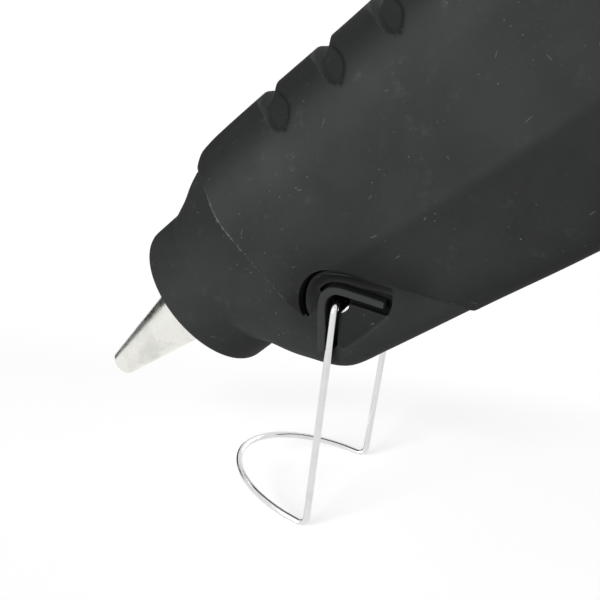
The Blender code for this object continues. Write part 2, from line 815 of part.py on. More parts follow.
def stop_rib(side):
    """An L-shaped rib on the flank, which stops the wire at both ends of its swing."""
    line = [np.array(point) for point in beside_pivot(RIB_LINE_SHARES)]
    left, right = [], []
    for i, point in enumerate(line):
        before = line[max(i - 1, 0)]
        after = line[min(i + 1, len(line) - 1)]
        run = (after - before) / np.linalg.norm(after - before)
        across = np.array((-run[1], run[0])) * RIB_WIDTH / 2
        left.append(tuple(point + across))
        right.append(tuple(point - across))
    outline = left + right[::-1]
    thick = (RIB_HEIGHT + WALL / 2) / 2
    middle = side * (FLANK_HALF_WIDTH + RIB_HEIGHT - thick)
    return prism(f"stop_rib_{side}", outline, thick, TOOLS, middle)


def flank_cut(name, shares, depth, side):
    """A cut into the flank: the groove inside the stop rib, or the channel outside it."""
    deep = (depth + OVERRUN) / 2
    middle = side * (FLANK_HALF_WIDTH - depth + deep)
    return prism(f"{name}_{side}", beside_pivot(shares), deep, TOOLS, middle)


def stick_bore(name, radius, start, end):
    return rod(name, radius, (start, 0, 0), (end, 0, 0), TOOLS)


# The trigger slot's shares of the trigger's drop, the grip's length and the grip's depth
SLOT_DROP_SHARE = 0.7
SLOT_GRIP_SHARE = 0.4
SLOT_DEPTH_SHARE = 0.33


def trigger_slot():
    """The opening in the underside and the grip's front that the trigger works in."""
    front = TRIGGER_FRONT - RIB_THICKNESS * 2
    back = grip_middle(GRIP_LENGTH * SLOT_GRIP_SHARE) - GRIP_DEPTH * SLOT_DEPTH_SHARE
    outline = [
        (front, -TRIGGER_PIVOT_DROP),
        (front, -TRIGGER_FOOT_DROP * SLOT_DROP_SHARE),
        (TRIGGER_BACK, -TRIGGER_FOOT_DROP - OVERRUN),
        (back, -TRIGGER_FOOT_DROP - OVERRUN),
        (TRIGGER_BACK + TRIGGER_BOSS * 2, -TRIGGER_PIVOT_DROP),
    ]
    return prism("trigger_slot", outline, TRIGGER_WIDTH / 2 + GAP * 2, TOOLS)


def shell(side_name, side):
    """One half of the case, split off at the middle."""
    obj = new_object(f"{side_name}_shell", CASE.data.copy(), PARTS)
    near, far = sorted((side * GAP / 2, side * TRIM))
    half = box(
        f"half_{side_name}",
        (-OVERRUN, near, -GRIP_LENGTH * 2),
        (BARREL_END * 2, far, GRIP_LENGTH),
        TOOLS,
    )
    keep(obj, half, CASE_SOLVER)
    return finish(settled(obj), case_plastic())


def screw_holes():
    """A hole for each screw's shank, and a wider one in the right side for its head."""
    made = []
    deep = SCREW_SEAT - SCREW_LENGTH - GAP * 2
    for number, (along, up) in enumerate(screw_places()):
        made.append(
            rod(
                f"screw_hole_{number + 1}",
                SCREW_RADIUS + GAP,
                (along, deep, up),
                (along, SCREW_SEAT + OVERRUN, up),
                TOOLS,
                PIN_SEGMENTS,
            )
        )
        made.append(
            rod(
                f"head_hole_{number + 1}",
                SCREW_HEAD_RADIUS + GAP,
                (along, SCREW_SEAT, up),
                (along, TRIM, up),
                TOOLS,
                PIN_SEGMENTS,
            )
        )
    return made


def common_cuts():
    """The bores and openings that both halves of the case share."""
    block_half = HEATER_WIDTH / 2 + BLOCK_WALL + CLIP_THICKNESS + GAP * 2
    block_reach = HEATER_THICKNESS + BLOCK_WALL * 2 + CLIP_THICKNESS + GAP * 2
    wire_hole = rod(
        "wire_hole",
        WIRE_RADIUS + GAP,
        (PIVOT_BACK, -TRIM, -PIVOT_DROP),
        (PIVOT_BACK, TRIM, -PIVOT_DROP),
        TOOLS,
        PIN_SEGMENTS,
    )
    trigger_hole = rod(
        "trigger_pin_hole",
        TRIGGER_PIN_RADIUS + GAP,
        (TRIGGER_BACK, -TRIGGER_PIN_WIDTH / 2 - GAP, -TRIGGER_PIVOT_DROP),
        (TRIGGER_BACK, TRIGGER_PIN_WIDTH / 2 + GAP, -TRIGGER_PIVOT_DROP),
        TOOLS,
    )
    block_room = box(
        "block_room",
        (RIM_SEAT + WALL, -block_half, -CHAMBER_RADIUS - block_reach),
        (CHAMBER_END + GAP, block_half, -CHAMBER_RADIUS / 2),
        TOOLS,
    )
    sleeve_radius = CHAMBER_TAIL_RADIUS + GAP + SLEEVE_WALL + GAP
    boot_end = BOOT_FRONT + BOOT_LENGTH + GAP
    guide_start = BARREL_END - GUIDE_LENGTH - OVERRUN
    return [
        stick_bore("rim_bore", COLLAR_RADIUS - COLLAR_WALL, -OVERRUN, boot_end),
        stick_bore("neck_bore", CHAMBER_NECK_RADIUS + GAP, 0, CHAMBER_START),
        stick_bore("chamber_bore", CHAMBER_RADIUS + GAP, CHAMBER_START - GAP, CHAMBER_END + GAP),
        stick_bore("sleeve_bore", sleeve_radius, CHAMBER_END, CARRIAGE_BACK),
        stick_bore("guide_bore", guide_radius() + GAP, guide_start, BARREL_END + OVERRUN),
        block_room,
        wire_hole,
        trigger_hole,
        trigger_slot(),
        bush_hole(),
    ]


def guide_radius():
    return STICK_RADIUS + STICK_PLAY * 2 + GUIDE_WALL


def make_nozzle():
    tip = -NOZZLE_REACH
    profile = [
        (tip, NOZZLE_ORIFICE + NOZZLE_EDGE),
        (tip, NOZZLE_TIP_RADIUS - NOZZLE_EDGE),
        (tip + NOZZLE_EDGE, NOZZLE_TIP_RADIUS),
        (0, NOZZLE_RIM_RADIUS),
        (BOOT_FRONT, NOZZLE_SHOULDER_RADIUS),
        (NOZZLE_SHOULDER, NOZZLE_SHOULDER_RADIUS),
        (NOZZLE_SHOULDER, NOZZLE_SPIGOT_RADIUS),
        (NOZZLE_SHOULDER + NOZZLE_SPIGOT, NOZZLE_SPIGOT_RADIUS),
        (NOZZLE_SHOULDER + NOZZLE_SPIGOT, NOZZLE_BORE),
        (tip + NOZZLE_ORIFICE_LENGTH * 2, NOZZLE_ORIFICE),
        (tip + NOZZLE_EDGE, NOZZLE_ORIFICE),
    ]
    finish(turned("nozzle", profile, PARTS), cast_aluminium())


def make_boot():
    """The soft ring that fills the rim and holds the hot front of the chamber."""
    outer = COLLAR_RADIUS - COLLAR_WALL - GAP
    inner = NOZZLE_SHOULDER_RADIUS + GAP
    profile = [
        (BOOT_FRONT, inner + RIM_ROUND),
        (BOOT_FRONT, outer - RIM_ROUND),
        (BOOT_FRONT + RIM_ROUND, outer),
        (BOOT_FRONT + BOOT_LENGTH, outer),
        (BOOT_FRONT + BOOT_LENGTH, CHAMBER_NECK_RADIUS + GAP),
        (BOOT_FRONT + RIM_ROUND, CHAMBER_NECK_RADIUS + GAP),
    ]
    finish(turned("nozzle_boot", profile, PARTS), soft_rubber())


def heater_level():
    return -CHAMBER_RADIUS - HEATER_THICKNESS / 2


def make_chamber():
    """The melt chamber: a turned body with a square block under it for the heater."""
    neck_start = NOZZLE_SHOULDER + GAP
    spigot_end = NOZZLE_SHOULDER + NOZZLE_SPIGOT + GAP
    bore = STICK_RADIUS + STICK_PLAY
    profile = [
        (neck_start, NOZZLE_SPIGOT_RADIUS + GAP),
        (neck_start, CHAMBER_NECK_RADIUS),
        (CHAMBER_START, CHAMBER_NECK_RADIUS),
        (CHAMBER_START, CHAMBER_RADIUS),
        (CHAMBER_END, CHAMBER_RADIUS),
        (CHAMBER_END, CHAMBER_TAIL_RADIUS),
        (CHAMBER_END + CHAMBER_TAIL, CHAMBER_TAIL_RADIUS),
        (CHAMBER_END + CHAMBER_TAIL, bore),
        (CHAMBER_START + bore * 2, bore),
        (spigot_end, NOZZLE_BORE),
        (spigot_end, NOZZLE_SPIGOT_RADIUS + GAP),
    ]
    obj = turned("melt_chamber", profile, PARTS)
    half = HEATER_WIDTH / 2 + BLOCK_WALL
    front = CHAMBER_START + (CHAMBER_END - CHAMBER_START - BLOCK_LENGTH) / 2
    level = heater_level()
    reach = HEATER_THICKNESS / 2 + BLOCK_WALL
    shoulder = math.sqrt(CHAMBER_RADIUS**2 - half**2) - GAP
    block = box(
        "heater_block",
        (front, -half, level - reach),
        (front + BLOCK_LENGTH, half, -shoulder),
        TOOLS,
    )
    join(obj, block)
    slot = box(
        "heater_slot",
        (front - OVERRUN, -HEATER_WIDTH / 2 - GAP, level - HEATER_THICKNESS / 2 - GAP),
        (front + BLOCK_LENGTH + OVERRUN, HEATER_WIDTH / 2 + GAP, level + HEATER_THICKNESS / 2 + GAP),
        TOOLS,
    )
    cut(obj, slot)
    finish(settled(obj), cast_aluminium())
    start = front + (BLOCK_LENGTH - HEATER_LENGTH) / 2
    plate = box(
        "heater_plate",
        (start, -HEATER_WIDTH / 2, level - HEATER_THICKNESS / 2),
        (start + HEATER_LENGTH, HEATER_WIDTH / 2, level + HEATER_THICKNESS / 2),
        PARTS,
    )
    finish(plate, white_ceramic())
    middle = front + BLOCK_LENGTH / 2
    clip = box(
        "heater_clip",
        (middle - CLIP_LENGTH / 2, -half - GAP - CLIP_THICKNESS, level - reach - GAP - CLIP_THICKNESS),
        (middle + CLIP_LENGTH / 2, half + GAP + CLIP_THICKNESS, level + HEATER_THICKNESS / 2),
        PARTS,
    )
    hollow = box(
        "clip_hollow",
        (middle - CLIP_LENGTH, -half - GAP, level - reach - GAP),
        (middle + CLIP_LENGTH, half + GAP, level + reach * 2),
        TOOLS,
    )
    cut(clip, hollow)
    finish(settled(clip), plated_steel())


def make_sleeve():
    """The soft inlet sleeve on the chamber's tail, and the wire clamp round it."""
    inner = CHAMBER_TAIL_RADIUS + GAP
    bore = STICK_RADIUS + GAP
    start = CHAMBER_END + GAP
    end = start + SLEEVE_LENGTH
    seat_end = CHAMBER_END + CHAMBER_TAIL + GAP
    profile = [
        (start, inner),
        (start, inner + SLEEVE_WALL),
        (seat_end + SLEEVE_WALL, inner + SLEEVE_WALL),
        (seat_end + SLEEVE_WALL * 2, bore + SLEEVE_WALL),
        (end, bore + SLEEVE_WALL),
        (end, bore + SLEEVE_WALL / 2),
        (end - SLEEVE_WALL, bore),
        (seat_end, bore),
        (seat_end, inner),
    ]
    finish(turned("inlet_sleeve", profile, PARTS), soft_rubber())
    middle = (start + CLAMP_BACK, inner + SLEEVE_WALL + GAP + CLAMP_WIRE)
    ring = arc(middle, CLAMP_WIRE, 2 * math.pi, 0, 8)[:-1]
    finish(turned("sleeve_clamp", ring, PARTS), plated_steel())


def make_carriage():
    """The feed carriage: a ring round the stick with side keys, a lug and two ears."""
    bore = STICK_RADIUS + STICK_PLAY
    outer = bore + CARRIAGE_WALL
    end = CARRIAGE_BACK + CARRIAGE_LENGTH
    profile = [(CARRIAGE_BACK, bore), (CARRIAGE_BACK, outer), (end, outer), (end, bore)]
    obj = turned("feed_carriage", profile, PARTS)
    for name, side in (("left", -1), ("right", 1)):
        ends = sorted((side * (bore + CARRIAGE_WALL / 2), side * (outer + KEY_REACH)))
        key = box(
            f"key_{name}",
            (CARRIAGE_BACK + WALL, ends[0], -KEY_HEIGHT / 2),
            (end - WALL, ends[1], KEY_HEIGHT / 2),
            TOOLS,
        )
        join(obj, key)
    lug = box(
        "spring_lug",
        (end - WALL * 2, -CLAW_THICKNESS / 2, bore + CARRIAGE_WALL / 2),
        (end - WALL, CLAW_THICKNESS / 2, SPRING_HEIGHT + SPRING_RADIUS),
        TOOLS,
    )
    join(obj, lug)
    near = CLAW_THICKNESS / 2 + GAP * 2
    root = EAR_RADIUS + EAR_RADIUS / 2
    for name, side in (("left", -1), ("right", 1)):
        ends = sorted((side * near, side * (near + EAR_THICKNESS)))
        outline = [
            (TRIGGER_BACK - root, -bore - CARRIAGE_WALL / 2),
            *arc((TRIGGER_BACK, -CLAW_PIN_DROP), EAR_RADIUS, math.pi, 2 * math.pi, 6),
            (TRIGGER_BACK + root, -bore - CARRIAGE_WALL / 2),
        ]
        ear = prism(f"ear_{name}", outline, EAR_THICKNESS / 2, TOOLS, sum(ends) / 2)
        join(obj, ear)
    settled(obj)
    window = box(
        "claw_window",
        (TRIGGER_BACK - CLAW_HALF_WIDTH - GAP * 2, -near, -outer - OVERRUN),
        (TRIGGER_BACK + CLAW_HALF_WIDTH + GAP * 2, near, 0),
        TOOLS,
    )
    cut(obj, window)
    pin_hole = rod(
        "claw_pin_hole",
        CLAW_PIN_RADIUS + GAP,
        (TRIGGER_BACK, -TRIM, -CLAW_PIN_DROP),
        (TRIGGER_BACK, TRIM, -CLAW_PIN_DROP),
        TOOLS,
        PIN_SEGMENTS,
    )
    cut(obj, pin_hole)
    finish(settled(obj), trigger_plastic())
    half = near + EAR_THICKNESS
    pin = rod(
        "claw_pin",
        CLAW_PIN_RADIUS,
        (TRIGGER_BACK, -half, -CLAW_PIN_DROP),
        (TRIGGER_BACK, half, -CLAW_PIN_DROP),
        PARTS,
        PIN_SEGMENTS,
    )
    finish(pin, plated_steel())


# The grip lever's neck and its slot's foot, as shares of its pin's radius
CLAW_NECK_SHARE = 2.2
CLAW_FOOT_SHARE = 1.4


def make_claw():
    """The lever that bites the stick, drawn about its own pin."""
    wide = CLAW_HALF_WIDTH
    tooth = CLAW_PIN_DROP - STICK_RADIUS - GAP * 2
    narrow = CLAW_PIN_RADIUS * CLAW_NECK_SHARE
    outline = [
        (-narrow, tooth),
        (-narrow / 4, tooth - GAP),
        (narrow, tooth / 3),
        (narrow, -CLAW_PIN_RADIUS * 2),
        (wide, -CLAW_PIN_RADIUS * 4),
        (wide, -CLAW_LENGTH),
        (-wide, -CLAW_LENGTH),
        (-wide, -CLAW_PIN_RADIUS * 4),
        (-narrow, -CLAW_PIN_RADIUS * 2),
    ]
    obj = prism("grip_lever", outline, CLAW_THICKNESS / 2, PARTS)
    obj.location = (TRIGGER_BACK, 0, -CLAW_PIN_DROP)
    hole = rod(
        "lever_hole",
        CLAW_PIN_RADIUS + GAP,
        (TRIGGER_BACK, -TRIM, -CLAW_PIN_DROP),
        (TRIGGER_BACK, TRIM, -CLAW_PIN_DROP),
        TOOLS,
        PIN_SEGMENTS,
    )
    cut(obj, hole)
    top = -TRIGGER_PIVOT_DROP + TRIGGER_ARM + DRIVE_PIN_RADIUS + GAP
    bottom = -CLAW_PIN_DROP - CLAW_LENGTH + CLAW_PIN_RADIUS * CLAW_FOOT_SHARE
    slot = box(
        "lever_slot",
        (TRIGGER_BACK - CLAW_SLOT_WIDTH / 2, -TRIM, bottom),
        (TRIGGER_BACK + CLAW_SLOT_WIDTH / 2, TRIM, top),
        TOOLS,
    )
    cut(obj, slot)
    finish(settled(obj), plated_steel())


# The trigger's side view. Front: shares of its drop, from its front edge and down from
# its pivot. Back: shares of its pivot boss, and down by shares of its drop.
TRIGGER_FRONT_SHARES = ((0.05, 0.35), (0.065, 0.55), (0.035, 0.78), (-0.045, 0.95))
TRIGGER_TOE_SHARES = (0.01, 0.20)
TRIGGER_BACK_SHARES = ((0.0, 0.92), (1.0, 0.62), (1.3, 0.30))
TRIGGER_TOP_SHARES = (1.2, 0.8, 0.75, 0.6)


def trigger_outline(wall):
    """The trigger's side view, about its pivot, grown inwards by wall."""
    front = TRIGGER_FRONT - TRIGGER_BACK
    top = -TRIGGER_PIN_RADIUS * 2
    drop = TRIGGER_FOOT_DROP - TRIGGER_PIVOT_DROP
    brow, lip, shoulder, crest = TRIGGER_TOP_SHARES
    points = [(front + wall, top - WALL * brow)]
    points += [(front + drop * x + wall, -drop * z) for x, z in TRIGGER_FRONT_SHARES]
    points += [(front + drop * x, -drop + wall) for x in TRIGGER_TOE_SHARES]
    points[-2] = (points[-2][0] + wall, points[-2][1])
    heel, *back = TRIGGER_BACK_SHARES
    points.append((TRIGGER_BOSS * heel[0], -drop * heel[1] + wall))
    points += [(TRIGGER_BOSS * x, -drop * z) for x, z in back]
    return points + [
        (TRIGGER_BOSS, 0),
        (TRIGGER_BOSS * crest, TRIGGER_BOSS),
        (-TRIGGER_BOSS, TRIGGER_BOSS),
        (front * shoulder, top + WALL * lip),
    ]


def make_trigger():
    """The trigger: a hollow finger lever with two arms up to the drive pin."""
    pivot = (TRIGGER_BACK, 0, -TRIGGER_PIVOT_DROP)
    obj = prism("trigger", trigger_outline(0), TRIGGER_WIDTH / 2, PARTS)
    obj.location = pivot
    arm = [
        (-ARM_RADIUS * ARM_FOOT_SHARE, 0),
        *arc((0, TRIGGER_ARM), ARM_RADIUS, math.pi, 0, 8),
        (ARM_RADIUS * ARM_FOOT_SHARE, 0),
    ]
    arms = prism("trigger_arms", arm, TRIGGER_WIDTH / 2, TOOLS)
    arms.location = pivot
    join(obj, arms)
    settled(obj)
    inner = trigger_outline(TRIGGER_WALL)
    hollow = [(x, z) for x, z in inner[:7]] + [
        (TRIGGER_BOSS * 3, inner[6][1]),
        (TRIGGER_BOSS * 3, TRIGGER_ARM * 2),
        (TRIGGER_FRONT - TRIGGER_BACK + TRIGGER_WALL, TRIGGER_ARM * 2),
    ]
    pocket = prism("trigger_pocket", hollow, TRIGGER_WIDTH / 2 - TRIGGER_WALL, TOOLS)
    pocket.location = pivot
    cut(obj, pocket)
    for name, radius, up in (
        ("pivot", TRIGGER_PIN_RADIUS, 0),
        ("drive", DRIVE_PIN_RADIUS, TRIGGER_ARM),
    ):
        tool = rod(
            f"trigger_{name}_hole",
            radius + GAP,
            (TRIGGER_BACK, -TRIM, -TRIGGER_PIVOT_DROP + up),
            (TRIGGER_BACK, TRIM, -TRIGGER_PIVOT_DROP + up),
            TOOLS,
            PIN_SEGMENTS,
        )
        cut(obj, tool)
    finish(settled(obj), trigger_plastic())
    for name, radius, up, width in (
        ("trigger_pin", TRIGGER_PIN_RADIUS, 0, TRIGGER_PIN_WIDTH),
        ("drive_pin", DRIVE_PIN_RADIUS, TRIGGER_ARM, TRIGGER_WIDTH),
    ):
        level = -TRIGGER_PIVOT_DROP + up
        pin = rod(
            name,
            radius,
            (TRIGGER_BACK, -width / 2, level),
            (TRIGGER_BACK, width / 2, level),
            PARTS,
            PIN_SEGMENTS,
        )
        finish(pin, plated_steel())


def wire(name, points, radius, resolution, group, look):
    """A round wire along a line of points, as a closed mesh."""
    curve = bpy.data.curves.new(name, "CURVE")
    curve.dimensions = "3D"
    curve.bevel_depth = radius
    curve.bevel_resolution = resolution
    curve.use_fill_caps = True
    line = curve.splines.new("POLY")
    line.points.add(len(points) - 1)
    for slot, point in zip(line.points, points):
        slot.co = (*point, 1.0)
    holder = bpy.data.objects.new(name + "_curve", curve)
    group.objects.link(holder)
    bpy.context.view_layer.update()
    graph = bpy.context.evaluated_depsgraph_get()
    mesh = bpy.data.meshes.new_from_object(holder.evaluated_get(graph))
    bpy.data.objects.remove(holder, do_unlink=True)
    shape = bmesh.new()
    shape.from_mesh(mesh)
    bmesh.ops.remove_doubles(shape, verts=shape.verts, dist=1e-6)
    bmesh.ops.recalc_face_normals(shape, faces=shape.faces)
    shape.to_mesh(mesh)
    shape.free()
    mesh.name = name
    return finish(new_object(name, mesh, group), look, math.radians(60))


def make_spring():
    """The return spring, a helix between the carriage's lug and a case boss."""
    start = CARRIAGE_BACK + CARRIAGE_LENGTH - WALL + GAP + SPRING_WIRE
    end = screw_places()[4][0] - BOSS_RADIUS - GAP - SPRING_WIRE
    count = SPRING_TURNS * SPRING_POINTS
    points = []
    for i in range(count + 1):
        turn = 2 * math.pi * i / SPRING_POINTS
        points.append(
            (
                start + (end - start) * i / count,
                SPRING_RADIUS * math.sin(turn),
                SPRING_HEIGHT + SPRING_RADIUS * math.cos(turn) - SPRING_RADIUS / 2,
            )
        )
    wire("return_spring", points, SPRING_WIRE, 0, PARTS, plated_steel())


def rounded(points, radius, steps):
    """A path with its inner corners rounded, for wire bent over a former."""
    path = [Vector(points[0])]
    for before, corner, after in zip(points, points[1:], points[2:]):
        before, corner, after = Vector(before), Vector(corner), Vector(after)
        back = (before - corner).normalized()
        ahead = (after - corner).normalized()
        half = back.angle(ahead) / 2
        reach = radius / math.tan(half)
        start, end = corner + back * reach, corner + ahead * reach
        middle = corner + (back + ahead).normalized() * radius / math.sin(half)
        arm, last = start - middle, end - middle
        angle = arm.angle(last)
        for i in range(steps + 1):
            t = i / steps
            blend = arm * math.sin((1 - t) * angle) + last * math.sin(t * angle)
            path.append(middle + blend / math.sin(angle))
    path.append(Vector(points[-1]))
    return path


def make_stand():
    """The wire stand: two legs from the case's sides to a half loop on the ground.

    It is drawn upright about its own pivot, in the world's frame.
    """
    drop = math.sqrt(LEG_LENGTH**2 - FOOT_AHEAD**2)
    pin_end = FLANK_HALF_WIDTH - WALL - WIRE_TUCK
    foot = Vector((-FOOT_AHEAD, FOOT_WIDTH / 2, -drop))
    loop = []
    for i in range(1, LOOP_STEPS):
        turn = math.pi * i / LOOP_STEPS
        ahead = LOOP_DEPTH * math.sin(turn)
        loop.append(
            foot
            + Vector(
                (
                    -ahead * math.cos(LOOP_RISE),
                    -FOOT_WIDTH / 2 * (1 - math.cos(turn)),
                    ahead * math.sin(LOOP_RISE),
                )
            )
        )
    start = [Vector((0, pin_end, 0)), Vector((0, PIVOT_WIDTH / 2, 0)), foot, loop[0]]
    left = rounded(start, WIRE_BEND, BEND_STEPS)
    right = [Vector((p.x, -p.y, p.z)) for p in left[::-1]]
    obj = wire("wire_stand", left + loop[1:-1] + right, WIRE_RADIUS, 2, PARTS, plated_steel())
    obj.parent = None
    obj.location = GUN.matrix_world @ Vector((PIVOT_BACK, 0, -PIVOT_DROP))
    return obj


def make_guide():
    """The ring at the back that the glue stick is pushed in through."""
    bore = STICK_RADIUS + STICK_PLAY * 2
    outer = guide_radius()
    start = BARREL_END - GUIDE_LENGTH + WALL
    seat = BARREL_END + GAP
    end = seat + GUIDE_FLANGE_LENGTH
    profile = [
        (start, bore),
        (start, outer),
        (seat, outer),
        (seat, outer + GUIDE_FLANGE),
        (end - GUIDE_FLANGE / 2, outer + GUIDE_FLANGE),
        (end, outer + GUIDE_FLANGE / 2),
        (end, bore + GUIDE_FLANGE / 2),
        (end - GUIDE_FLANGE / 2, bore),
    ]
    finish(turned("stick_guide", profile, PARTS), case_plastic())


def butt_frame():
    """The middle of the butt's end, and the direction that the lead would leave in."""
    corner, heel = (Vector((along, 0, up)) for along, up in stance_outline(0)[1:3])
    run = (heel - corner).normalized()
    out = Vector((run.z, 0, -run.x))
    middle = corner + run * (GRIP_DEPTH - TOE_LENGTH) * BUTT_MIDDLE_SHARE
    return middle, out


def bush_hole():
    middle, out = butt_frame()
    radius = BUSH_BORE + BUSH_WALL + GAP
    return rod("bush_hole", radius, middle - out * WALL * 3, middle + out * OVERRUN, TOOLS)


def make_bush():
    """The rubber bush in the butt where a lead comes in."""
    middle, out = butt_frame()
    outer = BUSH_BORE + BUSH_WALL
    grip_length = WALL + GAP * 2
    profile = [
        (-BUSH_FLANGE, BUSH_BORE + BUSH_WALL / 2),
        (-BUSH_FLANGE, outer + BUSH_FLANGE / 2),
        (0, outer + BUSH_FLANGE),
        (GAP, outer),
        (grip_length, outer),
        (grip_length, outer),
        (grip_length + BUSH_FLANGE, outer - BUSH_WALL / 3),
        (grip_length + BUSH_FLANGE, BUSH_BORE),
    ]
    obj = turned("lead_bush", [(x - GAP, r) for x, r in profile], PARTS)
    inward = -out
    turn = Vector((1, 0, 0)).rotation_difference(inward)
    obj.data.transform(Matrix.Translation(middle) @ turn.to_matrix().to_4x4())
    finish(obj, soft_rubber())


def make_terminal_block():
    """The block in the grip that joins the lead to the heater's wires."""
    length, height = BLOCK_LENGTH_HEIGHT
    width = GRIP_WIDTH - WALL * 2 - GAP * 10
    drop = GRIP_LENGTH * BLOCK_DROP_SHARE
    middle = Vector((grip_middle(drop), 0, -GRIP_TOP - drop))
    obj = box(
        "terminal_block",
        middle - Vector((length, width, height)) / 2,
        middle + Vector((length, width, height)) / 2,
        PARTS,
    )
    for name, side in (("left", -1), ("right", 1)):
        at = middle + Vector((0, side * width / 4, 0))
        hole = rod(
            f"terminal_{name}",
            width / 8,
            at - Vector((0, 0, height)),
            at + Vector((0, 0, height)),
            TOOLS,
            PIN_SEGMENTS,
        )
        cut(obj, hole)
    finish(settled(obj), white_ceramic())


def make_screws():
    for number, (along, up) in enumerate(screw_places()):
        name = f"case_screw_{number + 1}"
        seat = SCREW_SEAT + GAP
        shank = rod(
            name,
            SCREW_RADIUS,
            (along, SCREW_SEAT - SCREW_LENGTH, up),
            (along, seat + GAP, up),
            PARTS,
            PIN_SEGMENTS,
        )
        head = rod(
            f"screw_head_{number + 1}",
            SCREW_HEAD_RADIUS,
            (along, seat, up),
            (along, seat + SCREW_HEAD, up),
            TOOLS,
            PIN_SEGMENTS,
            SCREW_HEAD_RADIUS * HEAD_TIP_SHARE,
        )
        join(shank, head)
        for tool in cross_drive(number, along, seat, up):
            cut(shank, tool)
        finish(settled(shank), plated_steel())


def cross_drive(number, along, seat, up):
    """The cross recess in a screw's head."""
    long_arm, short_arm = SCREW_HEAD_RADIUS * DRIVE_REACH_SHARE, SCREW_DRIVE / 2
    tools = []
    for name, x, z in (("a", long_arm, short_arm), ("b", short_arm, long_arm)):
        tools.append(
            box(
                f"drive_{number + 1}_{name}",
                (along - x, seat + SCREW_HEAD / 2, up - z),
                (along + x, seat + SCREW_HEAD * 2, up + z),
                TOOLS,
            )
        )
    return tools


def centre_on_ground():
    """Moves the whole part so that the origin is under the middle of its box."""
    bpy.context.view_layer.update()
    graph = bpy.context.evaluated_depsgraph_get()
    low, high = math.inf, -math.inf
    for obj in PARTS.objects:
        if obj.type != "MESH":
            continue
        evaluated = obj.evaluated_get(graph)
        for vertex in evaluated.data.vertices:
            place = (evaluated.matrix_world @ vertex.co).x
            low, high = min(low, place), max(high, place)
    shift = -(low + high) / 2
    GUN.location.x += shift
    PARTS.objects["wire_stand"].location.x += shift
    bpy.context.view_layer.update()


clear_scene()
PARTS = bpy.data.collections.new("hot_glue_applicator")
TOOLS = bpy.data.collections.new("cutters")
for collection in (PARTS, TOOLS):
    bpy.context.scene.collection.children.link(collection)
TOOLS.hide_render = True
GUN = bpy.data.objects.new("gun_frame", None)
PARTS.objects.link(GUN)
GUN.rotation_euler = (0, -NOSE_DIP, 0)
GUN.location = (0, 0, rim_height())
bpy.context.view_layer.update()

CASE = hollow_skin()
shell("left", -1)
shell("right", 1)
make_nozzle()
make_boot()
make_chamber()
make_sleeve()
make_carriage()
make_claw()
make_trigger()
make_spring()
make_guide()
make_bush()
make_terminal_block()
make_screws()
make_stand()
centre_on_ground()
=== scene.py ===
"""A hot glue applicator that stands nose down on its wire stand, in a small studio.

The sizes here are in metres, in the gun's own frame unless a line says
otherwise: s runs back along the glue stick from the front rim, y is across the
gun, and h is up from the stick's axis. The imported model's frame is the world.
"""

import json
import math

import bpy
import numpy as np
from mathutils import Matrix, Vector


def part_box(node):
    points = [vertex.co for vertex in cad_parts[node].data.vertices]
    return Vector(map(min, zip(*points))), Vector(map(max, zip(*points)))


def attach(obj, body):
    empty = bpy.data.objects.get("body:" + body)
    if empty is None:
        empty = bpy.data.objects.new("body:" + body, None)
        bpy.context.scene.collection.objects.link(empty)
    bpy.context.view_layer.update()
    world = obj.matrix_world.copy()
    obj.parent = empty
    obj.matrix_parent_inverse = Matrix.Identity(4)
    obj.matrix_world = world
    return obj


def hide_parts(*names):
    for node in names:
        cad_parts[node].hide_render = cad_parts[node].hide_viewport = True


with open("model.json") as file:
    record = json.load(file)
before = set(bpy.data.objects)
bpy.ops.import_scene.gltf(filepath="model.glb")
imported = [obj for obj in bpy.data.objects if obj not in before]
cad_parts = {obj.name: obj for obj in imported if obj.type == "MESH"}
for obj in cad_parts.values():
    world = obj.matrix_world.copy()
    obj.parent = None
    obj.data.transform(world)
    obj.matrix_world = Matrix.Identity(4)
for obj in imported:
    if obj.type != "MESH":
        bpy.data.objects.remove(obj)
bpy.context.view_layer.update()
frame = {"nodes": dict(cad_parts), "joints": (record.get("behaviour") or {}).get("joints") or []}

bl_info = {
    "name": "Hot Glue Applicator Dresser",
    "version": (1, 0, 0),
    "blender": (4, 5, 0),
    "location": "3D Viewport > Sidebar > Glue Gun",
    "description": "Dresses the packed glue applicator with smooth skins, finishes and a studio",
    "category": "Object",
}

MM = 0.001
JOINTS = {joint["name"]: joint for joint in frame["joints"]}


class GunSizes(bpy.types.PropertyGroup):
    """The sizes that shape the dressed gun."""

    dip: bpy.props.FloatProperty(
        name="Nose dip", description="How far the barrel tips nose down",
        default=math.radians(39.65), subtype="ANGLE",
    )
    pivot_back: bpy.props.FloatProperty(
        name="Stand pivot back", description="From the rim back to the wire's pivot",
        default=0.0325, unit="LENGTH", precision=5,
    )
    pivot_drop: bpy.props.FloatProperty(
        name="Stand pivot drop", description="From the stick's axis down to the wire's pivot",
        default=0.0189, unit="LENGTH", precision=5,
    )
    split: bpy.props.FloatProperty(
        name="Case split", description="Gap between the two halves of the case",
        default=0.00002, unit="LENGTH", precision=5,
    )
    wall: bpy.props.FloatProperty(
        name="Case wall", description="Thickness of the moulded case",
        default=0.0024, unit="LENGTH", precision=5,
    )
    scoop_depth: bpy.props.FloatProperty(
        name="Scoop depth", description="Depth of the thumb scoops across the crown",
        default=0.0015, unit="LENGTH", precision=5,
    )
    rib_height: bpy.props.FloatProperty(
        name="Stop rib height", description="How far the wire's stop rib stands off the flank",
        default=0.0016, unit="LENGTH", precision=5,
    )
    wire: bpy.props.FloatProperty(
        name="Wire radius", description="Radius of the stand's wire",
        default=0.0007, unit="LENGTH", precision=5,
    )


